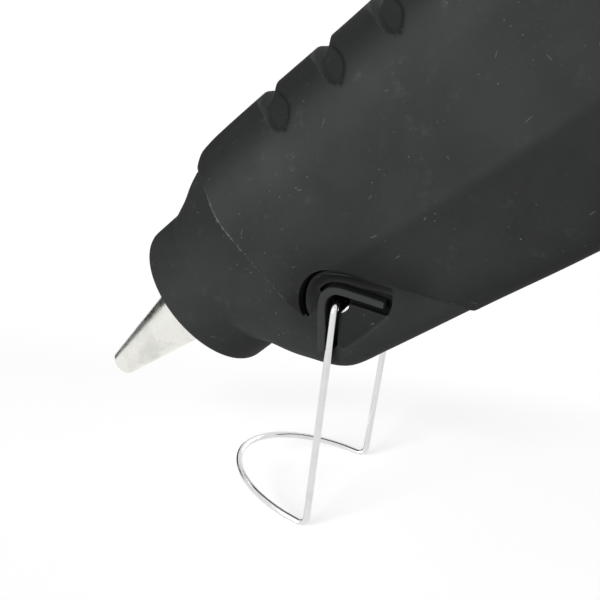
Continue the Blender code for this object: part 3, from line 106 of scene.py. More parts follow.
class GunColours(bpy.types.PropertyGroup):
    """The colours of the finishes."""

    case: bpy.props.FloatVectorProperty(
        name="Case", description="Moulded black plastic, which dust greys a little",
        default=(0.0340, 0.0358, 0.0350), subtype="COLOR", size=3, min=0, max=1,
    )
    trigger: bpy.props.FloatVectorProperty(
        name="Trigger", description="The trigger's smoother black plastic",
        default=(0.027, 0.028, 0.028), subtype="COLOR", size=3, min=0, max=1,
    )
    rubber: bpy.props.FloatVectorProperty(
        name="Silicone", description="Soft heat-proof silicone",
        default=(0.040, 0.040, 0.041), subtype="COLOR", size=3, min=0, max=1,
    )
    metal: bpy.props.FloatVectorProperty(
        name="Nozzle metal", description="Turned aluminium",
        default=(0.80, 0.795, 0.75), subtype="COLOR", size=3, min=0, max=1,
    )
    plating: bpy.props.FloatVectorProperty(
        name="Wire plating", description="Bright plated steel wire",
        default=(0.72, 0.72, 0.73), subtype="COLOR", size=3, min=0, max=1,
    )
    floor: bpy.props.FloatVectorProperty(
        name="Floor", description="The studio's pale floor",
        default=(0.80, 0.80, 0.80), subtype="COLOR", size=3, min=0, max=1,
    )


class StudioSettings(bpy.types.PropertyGroup):
    """The studio's lamps."""

    key: bpy.props.FloatProperty(
        name="Key light", description="Power of the large soft lamp", default=13.2, unit="POWER"
    )
    fill: bpy.props.FloatProperty(
        name="Fill light", description="Power of the soft lamp behind", default=5.0, unit="POWER"
    )
    sky: bpy.props.FloatProperty(
        name="Room light", description="Strength of the even light all round", default=0.05
    )


def sizes():
    """The panel's sizes."""
    return bpy.context.scene.glue_gun_sizes


def colours():
    """The panel's colours."""
    return bpy.context.scene.glue_gun_colours


def gun_origin():
    """The world place of the rim's centre, worked back from the stand's pivot."""
    size = sizes()
    pivot = np.array(JOINTS["stand_swing"]["pos_m"], float)
    c, s = math.cos(size.dip), math.sin(size.dip)
    back, up = size.pivot_back, -size.pivot_drop
    return pivot - np.array((back * c - up * s, 0, back * s + up * c))


def to_world(points):
    """Turns (s, y, h) points nose down by the dip and puts them at the rim's centre."""
    points = np.asarray(points, float)
    c, s = math.cos(sizes().dip), math.sin(sizes().dip)
    along, across, up = points[..., 0], points[..., 1], points[..., 2]
    return np.stack([along * c - up * s, across, along * s + up * c], -1) + gun_origin()


def to_gun(points):
    """The inverse of to_world."""
    points = np.asarray(points, float) - gun_origin()
    c, s = math.cos(sizes().dip), math.sin(sizes().dip)
    x, y, z = points[..., 0], points[..., 1], points[..., 2]
    return np.stack([x * c + z * s, y, z * c - x * s], -1)


def smooth_curve(table, places):
    """A cubic through (place, value) knots, its slope at each knot held to twice the
    smaller slope beside it, so that it never overshoots."""
    knots = np.array(table, float)
    runs = np.diff(knots[:, 1]) / np.diff(knots[:, 0])
    slopes = np.concatenate(([runs[0]], (runs[1:] + runs[:-1]) / 2, [runs[-1]]))
    least = np.minimum(np.abs(runs[1:]), np.abs(runs[:-1])) * 2
    turning = runs[1:] * runs[:-1] <= 0
    slopes[1:-1] = np.where(turning, 0, np.clip(slopes[1:-1], -least, least))
    places = np.clip(places, knots[0, 0], knots[-1, 0])
    low = np.clip(np.searchsorted(knots[:, 0], places) - 1, 0, len(knots) - 2)
    span = knots[low + 1, 0] - knots[low, 0]
    t = (places - knots[low, 0]) / span
    rise = knots[low + 1, 1] - knots[low, 1]
    lead = (t * (1 - t) ** 2 * slopes[low] - t * t * (1 - t) * slopes[low + 1]) * span
    return knots[low, 1] + rise * t * t * (3 - 2 * t) + lead


def ease(low, high, value):
    """Smoothstep: 0 at low, 1 at high, t t (3 - 2 t) between; low may be the larger."""
    t = np.clip((value - low) / (high - low), 0, 1)
    return t * t * (3 - 2 * t)


def unit(vectors):
    """Each vector at a length of 1."""
    return vectors / np.linalg.norm(vectors, axis=-1, keepdims=True)


def least_distance(gap, side):
    """The least distance from each point to any side, with gap the point less a side's start.

    The nearest point of a side a-b is a + clamp(((p-a).(b-a)) / |b-a|^2) (b-a).
    """
    t = np.clip((gap * side).sum(-1) / np.maximum((side * side).sum(-1), 1e-18), 0, 1)
    return np.sqrt(((gap - side * t[..., None]) ** 2).sum(-1)).min(1)


def distance_to(points, line):
    """How far each (s, h) point lies from an open line."""
    a, b = line[None, :-1], line[None, 1:]
    return least_distance(points[:, None] - a, b - a)


def distance_inside(points, outline):
    """How deep each (s, h) point lies inside a closed outline, and negative outside.

    A point is inside where a ray towards +s crosses the outline an odd number of times.
    """
    flat = points.reshape(-1, 1, 2)
    a = np.asarray(outline, float)[None]
    b = np.roll(a, -1, axis=1)
    side, gap = b - a, flat - a
    near = least_distance(gap, side)
    spans = (a[..., 1] > flat[..., 1]) != (b[..., 1] > flat[..., 1])
    drop = np.where(b[..., 1] == a[..., 1], 1, b[..., 1] - a[..., 1])
    crossing = a[..., 0] + (flat[..., 1] - a[..., 1]) * side[..., 0] / drop
    inside = (spans & (flat[..., 0] < crossing)).sum(1) % 2 == 1
    return np.where(inside, near, -near).reshape(points.shape[:-1])


def softened(points, steps):
    """A Catmull-Rom curve through open (s, h) points, with steps between each two."""
    points = np.asarray(points, float)
    padded = np.vstack([2 * points[:1] - points[1:2], points, 2 * points[-1:] - points[-2:-1]])
    t = np.linspace(0, 1, steps, endpoint=False)[None, :, None]
    p0, p1, p2, p3 = (padded[i : len(points) - 1 + i, None] for i in range(4))
    curve = 0.5 * (
        2 * p1 + (p2 - p0) * t + (2 * p0 - 5 * p1 + 4 * p2 - p3) * t**2
        + (3 * p1 - p0 - 3 * p2 + p3) * t**3
    )
    return np.vstack([curve.reshape(-1, 2), points[-1:]])


def corner_arc(before, corner, after, radius, count):
    """Arc points that round a corner between two straight runs, one row for each corner.

    The arc touches each run at radius / tan(half the angle) from the corner.
    """
    back, ahead = unit(before - corner), unit(after - corner)
    half = np.arccos(np.clip((back * ahead).sum(-1), -1, 1)) / 2
    start = corner + back * (radius / np.tan(half))[..., None]
    end = corner + ahead * (radius / np.tan(half))[..., None]
    middle = corner + unit(back + ahead) * (radius / np.sin(half))[..., None]
    first = np.arctan2(*np.moveaxis(start - middle, -1, 0)[::-1])
    turn = np.arctan2(*np.moveaxis(end - middle, -1, 0)[::-1]) - first
    turn = (turn + np.pi) % (2 * np.pi) - np.pi
    angle = first[..., None] + turn[..., None] * np.linspace(0, 1, count)
    return middle[..., None, :] + radius * np.stack([np.cos(angle), np.sin(angle)], -1)


def straight(start, end, shares):
    """Points between start and end at these shares of the way."""
    shares = np.asarray(shares)[None, :, None]
    return start[:, None] * (1 - shares) + end[:, None] * shares


def inner_shares(count, power=1.0):
    """Shares between 0 and 1 without the ends; a power over 1 crowds them towards 1."""
    t = np.linspace(0, 1, count + 2)[1:-1]
    return 1 - (1 - t) ** power


def seam_shares(count):
    """Shares of the crown's arch, crowded at the seam on its top."""
    t = np.linspace(0, 1, count)
    return t * (0.25 + 0.75 * t)


# How many points each stretch of a half section has, from the crown down to the belly
CROWN_POINTS, SIDE_POINTS, SHOULDER_POINTS = 62, 50, 16
FLANK_POINTS, HEEL_POINTS, FLOOR_POINTS = 56, 38, 8


def barrel_section(crown, arch, wide, ridge, belly, ridge_round, belly_round, tuck):
    """Half sections, one row for each place along the barrel, as (y, h).

    A circle of radius arch hangs from the crown. From its tangent a straight side slopes
    out to the ridge, the lower side tucks in by tuck, and a rounded corner leads to the
    flat belly. Both corners are arcs.
    """
    one = np.ones_like(crown)
    reach_y, reach_h = wide, ridge - (crown - arch)
    swing = np.arccos(np.clip(arch / np.hypot(reach_y, reach_h), -1, 1))
    touch = np.arctan2(reach_h, reach_y) + swing
    angle = np.pi / 2 + (touch - np.pi / 2)[:, None] * seam_shares(CROWN_POINTS)
    top = np.stack([arch * np.cos(angle), (crown - arch)[:, None] + arch * np.sin(angle)], -1)
    widest = np.stack([wide, ridge], -1)
    foot = np.stack([wide - tuck, belly], -1)
    floor = np.stack([0 * one, belly], -1)
    shoulder = corner_arc(top[:, -1], widest, foot, ridge_round, SHOULDER_POINTS)
    heel = corner_arc(widest, foot, floor, belly_round, HEEL_POINTS)
    return np.concatenate(
        [
            top,
            straight(top[:, -1], shoulder[:, 0], inner_shares(SIDE_POINTS, 1.5)),
            shoulder,
            straight(shoulder[:, -1], heel[:, 0], inner_shares(FLANK_POINTS)),
            heel,
            straight(heel[:, -1], floor, inner_shares(FLOOR_POINTS, 0.7)),
            floor[:, None],
        ],
        axis=1,
    )


# Places along the barrel as shares of BARREL_END, against shares of each size below
CROWN_SHARES = ((0.112, 0.872), (0.1163, 0.917), (0.123, 0.958), (0.1325, 0.988), (0.16, 1.0),
                (0.40, 0.962), (0.80, 0.955), (0.90, 0.925), (0.96, 0.84), (1.0, 0.73))
WIDTH_SHARES = ((0.095, 0.95), (0.20, 1.0), (0.50, 1.04), (0.80, 1.04), (0.93, 0.97), (1.0, 0.84))
RIDGE_SHARES = ((0.095, 0.87), (0.22, 1.0), (0.54, 1.33), (0.80, 1.40), (0.92, 1.0), (1.0, 0.7))
BELLY_SHARES = ((0.095, 0.90), (0.295, 0.99), (0.435, 1.085), (0.60, 1.17), (0.78, 1.18),
                (0.88, 0.98), (0.95, 0.72), (1.0, 0.56))
# Places as shares of NECK_LENGTH behind NECK_START, against shares of each size below
NECK_CROWN_SHARES = ((0.0, 0.675), (0.031, 0.702), (0.16, 0.80), (0.234, 0.880), (0.33, 0.940),
                     (0.50, 1.0), (1.0, 1.0))
NECK_WIDTH_SHARES = ((0.0, 0.80), (0.031, 0.835), (0.0875, 0.893), (0.14, 0.925), (0.23, 0.962),
                     (0.37, 0.995), (0.50, 1.0), (1.0, 1.0))
NECK_BELLY_SHARES = ((0.0, 0.42), (0.031, 0.46), (0.083, 0.53), (0.146, 0.63), (0.21, 0.725),
                     (0.31, 0.83), (0.375, 0.883), (0.43, 0.912), (0.55, 0.94), (1.0, 1.03))
NECK_SHAPE_SHARES = ((0.0, 0.0), (0.09, 0.02), (0.25, 0.55), (0.42, 1.0), (1.0, 1.0))
# The barrel's and the neck's sizes: how far the crown, the ridge and the belly lie from the
# stick's axis, half widths, and the radius of each round
CROWN, ARCH, WIDE, RIDGE, BELLY = 24.0 * MM, 14.0 * MM, 21.4 * MM, 13.0 * MM, 34.9 * MM
SHOULDER_ROUND, HEEL_ROUND, BELLY_TUCK = 8 * MM, 9.5 * MM, 1.8 * MM
FLANK, FLANK_DROP, NECK_BELLY, NECK_CROWN = 19.2 * MM, 12.0 * MM, 33.6 * MM, 23.3 * MM
NECK_ARCH, NECK_SHOULDER_ROUND, NECK_HEEL_ROUND = 13.3 * MM, 4 * MM, 8 * MM
BARREL_START, BARREL_END = 18.6 * MM, 166 * MM
NECK_START, NECK_LENGTH = 5 * MM, 48 * MM
# Stretches of the barrel in millimetres, and how many steps each has
ROW_RUNS = ((5, 16.4, 22), (16.4, 38, 104), (38, 46.5, 44), (46.5, 52.6, 16), (52.6, 59.8, 36),
            (59.8, 66.4, 12), (66.4, 73.6, 36), (73.6, 150, 36), (150, 166, 24))
# The crease is a step this wide on either side of its line, and the inside steps more gently
CREASE_HALF = 0.16 * MM
INNER_STEP = (46 * MM, 53 * MM)
# How far the skin rolls in at the split, and how far across that reaches
SEAM_ROLL, SEAM_REACH = 0.2 * MM, 0.35 * MM

# Side views in millimetres from the wire's pivot: (back, up). The crease and the hood make
# the barrel's front edge; the rib stops the wire, and the well is sunk round it.
CREASE = ((-13.9, 52.0), (-13.9, 41.0), (-12.4, 38.6), (-11.6, 36.0), (-11.7, 33.0), (-12.2, 29.4),
          (-12.1, 25.6), (-11.2, 21.0), (-10.1, 16.05), (-8.95, 11.6), (-7.65, 6.9), (-6.4, 1.4))
HOOD = ((-6.4, 1.4), (-6.1, 3.1), (-4.8, 5.0), (-2.9, 6.5), (-0.8, 7.1), (1.4, 6.8), (3.5, 5.7),
        (6.0, 3.4), (8.2, 0.8), (10.4, -1.9), (11.9, -3.9), (13.5, -6.0), (15.1, -8.3),
        (16.7, -10.7), (18.2, -13.6), (19.0, -26.0))
RIB_OUTER = ((-8.46, -4.78), (-5.62, -1.43), (-3.2, 1.44), (-1.82, 2.75), (-0.51, 3.39),
             (0.86, 3.37), (1.85, 2.9), (3.18, 1.71), (4.37, 0.21), (6.43, -2.41), (8.18, -4.81))
RIB_INNER = ((-7.12, -5.64), (-4.25, -2.32), (-1.89, 0.57), (-0.66, 1.62), (0.5, 1.75),
             (1.45, 1.45), (2.63, 0.2), (4.86, -2.6), (7.3, -5.7))
WELL_ABOVE = ((-1.25, 3.5), (-0.95, 4.2), (0.74, 4.18), (2.3, 3.45), (3.9, 2.02), (5.73, -0.2),
              (8.29, -2.95), (9.77, -4.77))
WELL_BELOW = ((6.26, -7.0), (4.26, -4.35), (2.76, -2.45), (1.7, -1.4), (0.3, -1.55), (-0.97, -1.92),
              (-3.45, -4.49), (-5.09, -6.24))
WELL_END = ((8.58, -6.09), (7.0, -7.15))
WELL_UNDER_RIB = ((-6.6, -6.3), (-7.6, -5.3), (-4.9, -1.95), (-2.5, 0.95), (-1.6, 2.2))
PLATE_FOOT = ((-4.64, -7.79), (0.14, -7.95), (5.83, -7.54))
SLOT_INNER = ((-6.11, 1.21), (-4.94, 2.7), (-4.01, 4.33), (-2.76, 5.46), (-1.09, 6.14),
              (1.04, 6.07), (3.43, 4.84), (5.92, 2.29), (8.29, -0.71), (10.63, -3.67))
# How wide the slot under the hood is at each of the hood's first points, in millimetres
SLOT_WIDTHS = (0.45, 0.6, 0.66, 0.6, 0.5, 0.42, 0.38, 0.34, 0.3, 0.22, 0.1)
# The scoops: each place in millimetres behind the rim, and its share of the full side width.
# Below, the (swing in degrees, millimetres along the barrel) of a scoop's parts.
SCOOPS = ((41.5, 1.0), (55.6, 0.85), (69.4, 0.85))
SCOOP_START = ((0, -1.9), (30, -2.0), (44, -2.1), (58, -1.7), (67, -1.4), (77, 0.1))
SCOOP_FLOOR = ((0, 0.0), (25, -0.1), (42, -1.1), (60, -1.1), (70, -0.8), (77, 0.4))
SCOOP_RIM = ((0, 2.0), (32, 2.0), (41, 2.6), (50, 3.4), (59, 3.8), (67, 3.3), (72, 2.3), (77, 0.9))
# SCOOP_LIGHT is where the highlight painted on each scoop's sinking slope starts
SCOOP_LIGHT = ((0, -3.4), (23, -3.3), (44, -2.2), (58, -1.8), (67, -1.5), (77, 0.1))
# The swing at which a scoop starts to fade and ends, and its shares of depth lost at the sides,
# left as a step at its rim, and kept before its floor is eased
SCOOP_FADE, SCOOP_END = 45, 77
SIDE_LOSS, RIM_STEP, FLOOR_EASE = 0.45, 0.32, 0.86
# Shade painted by degrees round the crown's middle and round the neck: the tops are painted
# darker and the crown's shoulders lighter, standing in for how the light falls on them
CROWN_SHADING = ((0, 0.72), (50, 0.72), (60, 0.84), (68, 1.02), (78, 1.28), (90, 1.40), (98, 1.34),
               (108, 1.16), (120, 1.04), (130, 1.0), (180, 1.0))
NECK_SHADING = ((0, 0.82), (50, 0.84), (65, 0.90), (80, 0.97), (95, 1.0), (180, 1.0))


def around_pivot(outline):
    """Millimetres (back, up) from the wire's pivot, as (s, h)."""
    size = sizes()
    return np.array(outline, float) * MM + (size.pivot_back, -size.pivot_drop)


def main_form(s, inset=0.0):
    """Half sections of the barrel's main form at places s: barrel_section on the tables."""
    part = s / BARREL_END
    return barrel_section(
        CROWN * smooth_curve(CROWN_SHARES, part) - inset,
        ARCH - inset,
        WIDE * smooth_curve(WIDTH_SHARES, part) - inset,
        -RIDGE * smooth_curve(RIDGE_SHARES, part),
        -BELLY * smooth_curve(BELLY_SHARES, part) + inset,
        SHOULDER_ROUND - inset,
        HEEL_ROUND - inset,
        BELLY_TUCK,
    )


def neck_form(s, inset=0.0):
    """Half sections of the neck at places s.

    Each is a blend from an oval, (w cos a, c sin a), to the flank's section scaled to the
    same width w, crown c and belly, with a the direction of the scaled point.
    """
    share = (s - NECK_START) / NECK_LENGTH
    one = np.ones(1)
    full = barrel_section(
        NECK_CROWN * one, NECK_ARCH, FLANK * one, -FLANK_DROP * one, -NECK_BELLY * one,
        NECK_SHOULDER_ROUND, NECK_HEEL_ROUND, 0.0,
    )
    crown = (NECK_CROWN * smooth_curve(NECK_CROWN_SHARES, share) - inset)[:, None]
    width = (FLANK * smooth_curve(NECK_WIDTH_SHARES, share) - inset)[:, None]
    belly = (NECK_BELLY * smooth_curve(NECK_BELLY_SHARES, share) - inset)[:, None]
    blend = smooth_curve(NECK_SHAPE_SHARES, share)[:, None, None]
    above = full[..., 1] > 0
    tall = np.where(above, crown, belly)
    scaled = np.stack(
        [
            full[..., 0] * width / FLANK,
            full[..., 1] * np.where(above, crown / NECK_CROWN, belly / NECK_BELLY),
        ],
        -1,
    )
    angle = np.arctan2(scaled[..., 1] / tall, scaled[..., 0] / width)
    oval = np.stack([width * np.cos(angle), tall * np.sin(angle)], -1)
    return oval * (1 - blend) + scaled * blend


def arch_middle(s):
    """The height of the middle of the crown's arch at places s."""
    return CROWN * smooth_curve(CROWN_SHARES, s / BARREL_END) - ARCH


def crown_swing(s, across, up):
    """Degrees from straight up to each point, about the middle of the crown's arch."""
    return np.degrees(np.arctan2(np.abs(across), up - arch_middle(s)))


def scoop_parts(s, swing, place, wide):
    """One scoop at each point, as (depth share, painted highlight, painted shade, painted dark
    edge).

    Along s a scoop sinks from its start to its floor, and rises to its rim, where a small
    step is left on the sides. Its depth fades as the quarter oval sqrt(1 - t t), with t the
    share of the way from SCOOP_FADE to SCOOP_END. The other three mask light and shade painted
    on the colour: a highlight on the sinking slope, shade in the hollow, and shade at the rim,
    along the floor and at the scoop's sides.
    """
    u = s / MM - place
    start, floor, rim, light = (
        smooth_curve(table, swing) for table in (SCOOP_START, SCOOP_FLOOR, SCOOP_RIM, SCOOP_LIGHT)
    )
    rim = rim * (1 + (wide - 1) * ease(35, 45, swing))
    fading = np.clip((swing - SCOOP_FADE) / (SCOOP_END - SCOOP_FADE), 0, 1)
    full = np.sqrt(np.clip(1 - fading**2, 0, 1)) * (1 - SIDE_LOSS * ease(30, 48, swing))
    step = RIM_STEP * ease(36, 50, swing)
    sinking = (u - start) / (floor - start)
    rising = 1 - (1 - step) * (u - floor) / (rim - floor)
    rising = np.where(u > rim, step * (1 - (u - rim) / 0.25), rising)
    fall = np.where(u < floor, sinking, rising)
    fall = np.where(fall > FLOOR_EASE, FLOOR_EASE + (fall - FLOOR_EASE) * 0.4, fall)
    on_side = ease(SCOOP_END + 2, SCOOP_END - 1, swing)
    strip = ease(-0.2, 0.2, u - light) * ease(0.2, -0.2, u - floor) * ease(76, 64, swing)
    hollow = ease(-0.2, 0.2, u - floor) * ease(0.2, -0.2, u - rim) * on_side
    soft = 0.32 + 0.3 * ease(56, 74, swing)
    edge = np.exp(-(((u - rim) / soft) ** 2)) * ease(34, 46, swing) * on_side
    inside = ease(-0.3, 0.5, u - floor) * ease(0.3, -0.5, u - rim)
    foot = 0.5 * np.exp(-(((swing - SCOOP_END + 2) / 2.6) ** 2)) * inside
    left = 0.6 * np.exp(-(((u - floor) / soft) ** 2)) * ease(34, 44, swing)
    left = left * ease(SCOOP_END, SCOOP_END - 11, swing)
    return np.clip(fall, 0, 1) * full, strip, hollow, np.maximum(np.maximum(edge, foot), left)


def scoop_depth(s, section):
    """How deep the three scoops cut into the crown at each point, in metres."""
    rows = np.broadcast_to(s[:, None], section.shape[:2])
    swing = crown_swing(rows, section[..., 0], section[..., 1])
    shares = [scoop_parts(rows, swing, place, wide)[0] for place, wide in SCOOPS]
    return np.max(shares, axis=0) * sizes().scoop_depth


def front_edge_line():
    """The barrel's front edge in the side view: the crease down to the hood, and the hood."""
    crease, hood = around_pivot(CREASE), around_pivot(HOOD)
    return np.vstack([crease[:1], softened(crease[1:], 6), softened(hood, 6)[1:]])


def moved(line, distance):
    """An open line moved to its left by a distance, which may change along it."""
    run = unit(np.gradient(line, axis=0))
    return line + np.stack([-run[:, 1], run[:, 0]], -1) * np.reshape(distance, (-1, 1))


def barrel_rows():
    """Places along the barrel: close together at the crease, the stand and the scoops."""
    return np.unique(np.concatenate([np.linspace(a, b, n + 1) for a, b, n in ROW_RUNS])) * MM


def barrel_skin(inset=0.0):
    """Right half of the outside: the main form behind its front edge, the neck before it.

    Each point is neck + (main - neck) t, with t a smoothstep across the front edge.
    """
    s = barrel_rows()
    main, neck = main_form(s, inset), neck_form(s, inset)
    rows = np.broadcast_to(s[:, None], main.shape[:2])
    if inset:
        rising = ease(*INNER_STEP, s)[:, None, None]
        return rows, neck + (main - neck) * rising
    main = main - unit_from_crown(s, main) * scoop_depth(s, main)[..., None]
    line = front_edge_line()
    closing = np.array([(BARREL_END * 2, line[-1, 1]), (BARREL_END * 2, line[0, 1])])
    region = np.vstack([line, closing])
    middle = (main + neck) / 2
    deep = distance_inside(np.stack([rows, middle[..., 1]], -1), region)
    on_main = ease(-CREASE_HALF, CREASE_HALF, deep) * (s >= BARREL_START)[:, None]
    return rows, neck + (main - neck) * on_main[..., None]


def unit_from_crown(s, section):
    """Unit directions from the crown's middle out to each point of the sections."""
    middle = arch_middle(s)
    return unit(section - np.stack([0 * middle, middle], -1)[:, None])


def soften_seam(across, up, rows):
    """Rolls the skin in by SEAM_ROLL at the split, as exp(-(y / SEAM_REACH)^2)."""
    roll = SEAM_ROLL * np.exp(-((across / SEAM_REACH) ** 2))
    return across, up - np.sign(up) * roll, rows


def full_ring(rows, half):
    """Mirrors half sections to whole rings of (s, y, h)."""
    across, up, rows = soften_seam(half[..., 0], half[..., 1], rows)
    right = np.stack([rows, across, up], -1)
    left = right[:, -2:0:-1] * (1, -1, 1)
    return np.concatenate([right, left], axis=1)


# Places down the grip as shares of its length, against shares of its depth and width
GRIP_DEPTH_SHARES = ((0.0, 1.25), (0.10, 1.10), (0.25, 1.0), (0.45, 0.94), (0.65, 0.93),
                     (0.85, 0.99), (1.0, 1.05))
GRIP_WIDTH_SHARES = ((0.0, 0.86), (0.20, 0.95), (0.50, 1.0), (0.75, 0.98), (1.0, 1.0))
GRIP_ROOT, GRIP_TOP, GRIP_DEPTH, GRIP_WIDTH, GRIP_LENGTH = (
    v * MM for v in (116, 24, 40, 32, 128)
)
GRIP_LEAN, GRIP_OVERRUN, GRIP_POWER = math.radians(10), 1.25, 0.8
TOE, BUTT_RISE = 12 * MM, math.radians(14)


def grip_rings(inset=0.0):
    """Superellipse rings down the grip's middle line, which leans back by GRIP_LEAN.

    x = depth |cos a|^p and y = width |sin a|^p, each with its own sign and p = GRIP_POWER.
    """
    t = np.linspace(0, GRIP_OVERRUN, 90)[:, None]
    depth = GRIP_DEPTH * smooth_curve(GRIP_DEPTH_SHARES, t) / 2 - inset
    width = GRIP_WIDTH * smooth_curve(GRIP_WIDTH_SHARES, t) / 2 - inset
    angle = np.linspace(0, 2 * np.pi, 144, endpoint=False)
    x = depth * np.sign(np.cos(angle)) * np.abs(np.cos(angle)) ** GRIP_POWER
    y = width * np.sign(np.sin(angle)) * np.abs(np.sin(angle)) ** GRIP_POWER
    drop = GRIP_LENGTH * t
    middle = GRIP_ROOT + drop * math.tan(GRIP_LEAN)
    return np.stack([middle + x, y, -GRIP_TOP - drop + 0 * x], -1)


def stance_line(inset=0.0):
    """The ground under the gun and the rising end of the butt, as a side view outline."""
    dip = sizes().dip
    rise = gun_origin()[2]
    toe_start = GRIP_ROOT + GRIP_LENGTH * math.tan(GRIP_LEAN) - GRIP_DEPTH / 2
    toe_end = toe_start + TOE * math.cos(dip)
    lift = inset / math.cos(dip)
    ground = [-(rise + s * math.sin(dip)) / math.cos(dip) + lift for s in (0, toe_end)]
    far = toe_end + GRIP_DEPTH * 2
    heel = ground[1] + (far - toe_end) * math.tan(BUTT_RISE) + inset / 2
    top = CROWN * 2
    return np.array([(0, ground[0]), (toe_end, ground[1]), (far, heel), (far, top), (0, top)])


def mesh_object(name, points, faces):
    """A mesh object at the origin, its faces turned outwards by the sign of its volume."""
    mesh = bpy.data.meshes.new(name)
    corners = points[np.array([face[:3] for face in faces])]
    volume = np.einsum("ij,ij->i", corners[:, 0], np.cross(corners[:, 1], corners[:, 2])).sum()
    if volume < 0:
        faces = [face[::-1] for face in faces]
    mesh.from_pydata(points.tolist(), [], faces)
    mesh.update()
    obj = bpy.data.objects.new(name, mesh)
    bpy.context.scene.collection.objects.link(obj)
    return obj


def grid_object(name, grid, closed_rows=False, world=True):
    """A closed skin over rings of points (rows, columns, 3), each ring closed.

    Its ends are flat faces, unless the rows close on themselves.
    """
    rows, columns = grid.shape[:2]
    points = to_world(grid) if world else grid
    index = np.arange(rows * columns).reshape(rows, columns)
    far = np.roll(index, -1, axis=0) if closed_rows else index[1:]
    near = index if closed_rows else index[:-1]
    quads = np.stack([near, np.roll(near, -1, 1), np.roll(far, -1, 1), far], -1).reshape(-1, 4)
    faces = quads.tolist()
    if not closed_rows:
        faces += [index[0, ::-1].tolist(), index[-1].tolist()]
    return mesh_object(name, points.reshape(-1, 3), faces)


def rounded_profile(points, radius, steps):
    """Rounds each inner corner of a closed (s, r) outline with an arc."""
    points = np.asarray(points, float)
    before, after = np.roll(points, 1, axis=0), np.roll(points, -1, axis=0)
    room = np.minimum(
        np.linalg.norm(points - before, axis=1), np.linalg.norm(points - after, axis=1)
    )
    half = np.arccos(np.clip((unit(before - points) * unit(after - points)).sum(-1), -1, 1)) / 2
    size = np.minimum(np.broadcast_to(radius, len(points)), room * 0.48 * np.tan(half))
    arcs = [
        corner_arc(b[None], p[None], a[None], r, steps)[0]
        for b, p, a, r in zip(before, points, after, size)
    ]
    return np.vstack(arcs)


def turned_object(name, profile, segments, place=None):
    """A closed (s, r) outline turned about the stick's axis: (s, r sin a, r cos a)."""
    profile = np.asarray(profile, float)
    angle = np.linspace(0, 2 * np.pi, segments, endpoint=False)
    s = np.broadcast_to(profile[:, 0, None], (len(profile), segments))
    r = profile[:, 1, None]
    grid = np.stack([s, r * np.sin(angle), r * np.cos(angle)], -1)
    if place is not None:
        grid = place(grid)
    return grid_object(name, grid, closed_rows=True)


def plug(name, start, end, radius, segments):
    """A cylinder between two (s, y, h) points, its ends flat."""
    start, end = np.asarray(start, float), np.asarray(end, float)
    run = unit(end - start)
    side = unit(np.cross(run, (0.31, 0.52, 0.79)))
    other = np.cross(run, side)
    angle = np.linspace(0, 2 * np.pi, segments, endpoint=False)[:, None]
    ring = radius * (np.cos(angle) * side + np.sin(angle) * other)
    return grid_object(name, np.stack([start + ring, end + ring]))


def slab(name, outline, half_width, middle=0.0):
    """A side view outline of (s, h) points, as thick as twice half_width."""
    outline = np.asarray(outline, float)
    sides = [
        np.stack([outline[:, 0], 0 * outline[:, 0] + middle + side * half_width, outline[:, 1]], -1)
        for side in (-1, 1)
    ]
    return grid_object(name, np.stack(sides))


def carve(obj, steps):
    """Joins, cuts or crosses obj with each (operation, tools), and keeps the result."""
    for operation, tools in steps:
        for tool in tools:
            step = obj.modifiers.new(tool.name, "BOOLEAN")
            step.operation = operation
            step.solver = "MANIFOLD"
            step.object = tool
    return applied(obj)


def applied(obj):
    """Puts what the modifiers make in place of the object's mesh."""
    bpy.context.view_layer.update()
    graph = bpy.context.evaluated_depsgraph_get()
    mesh = bpy.data.meshes.new_from_object(obj.evaluated_get(graph))
    if not mesh.polygons:
        raise RuntimeError(f"{obj.name} came out of its modifiers without a face")
    obj.modifiers.clear()
    obj.data = mesh
    return obj


def drop(tools):
    """Removes tools that have done their work."""
    for tool in tools:
        bpy.data.objects.remove(tool, do_unlink=True)


def finished(obj, look, body, nodes, angle):
    """Smooth shades a piece with sharp edges kept, and gives it its finish and its body."""
    obj.data.materials.clear()
    obj.data.materials.append(look)
    obj.data.shade_smooth()
    obj.data.set_sharp_from_angle(angle=math.radians(angle))
    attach(obj, body)
    if nodes:
        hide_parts(*nodes)
    return obj


def new_group(name, inputs, outputs):
    """A group that takes each (name, default) and gives out named values.

    It comes as (group, nodes, group input, group output, Object coordinates).
    """
    group = bpy.data.node_groups.new(name, "ShaderNodeTree")
    for socket, default in inputs:
        made = group.interface.new_socket(socket, in_out="INPUT", socket_type="NodeSocketFloat")
        made.default_value = default
    for socket in outputs:
        group.interface.new_socket(socket, in_out="OUTPUT", socket_type="NodeSocketFloat")
    n = Nodes(group)
    enter, leave = n.add("NodeGroupInput"), n.add("NodeGroupOutput")
    return group, n, enter, leave, n.add("ShaderNodeTexCoord").outputs["Object"]


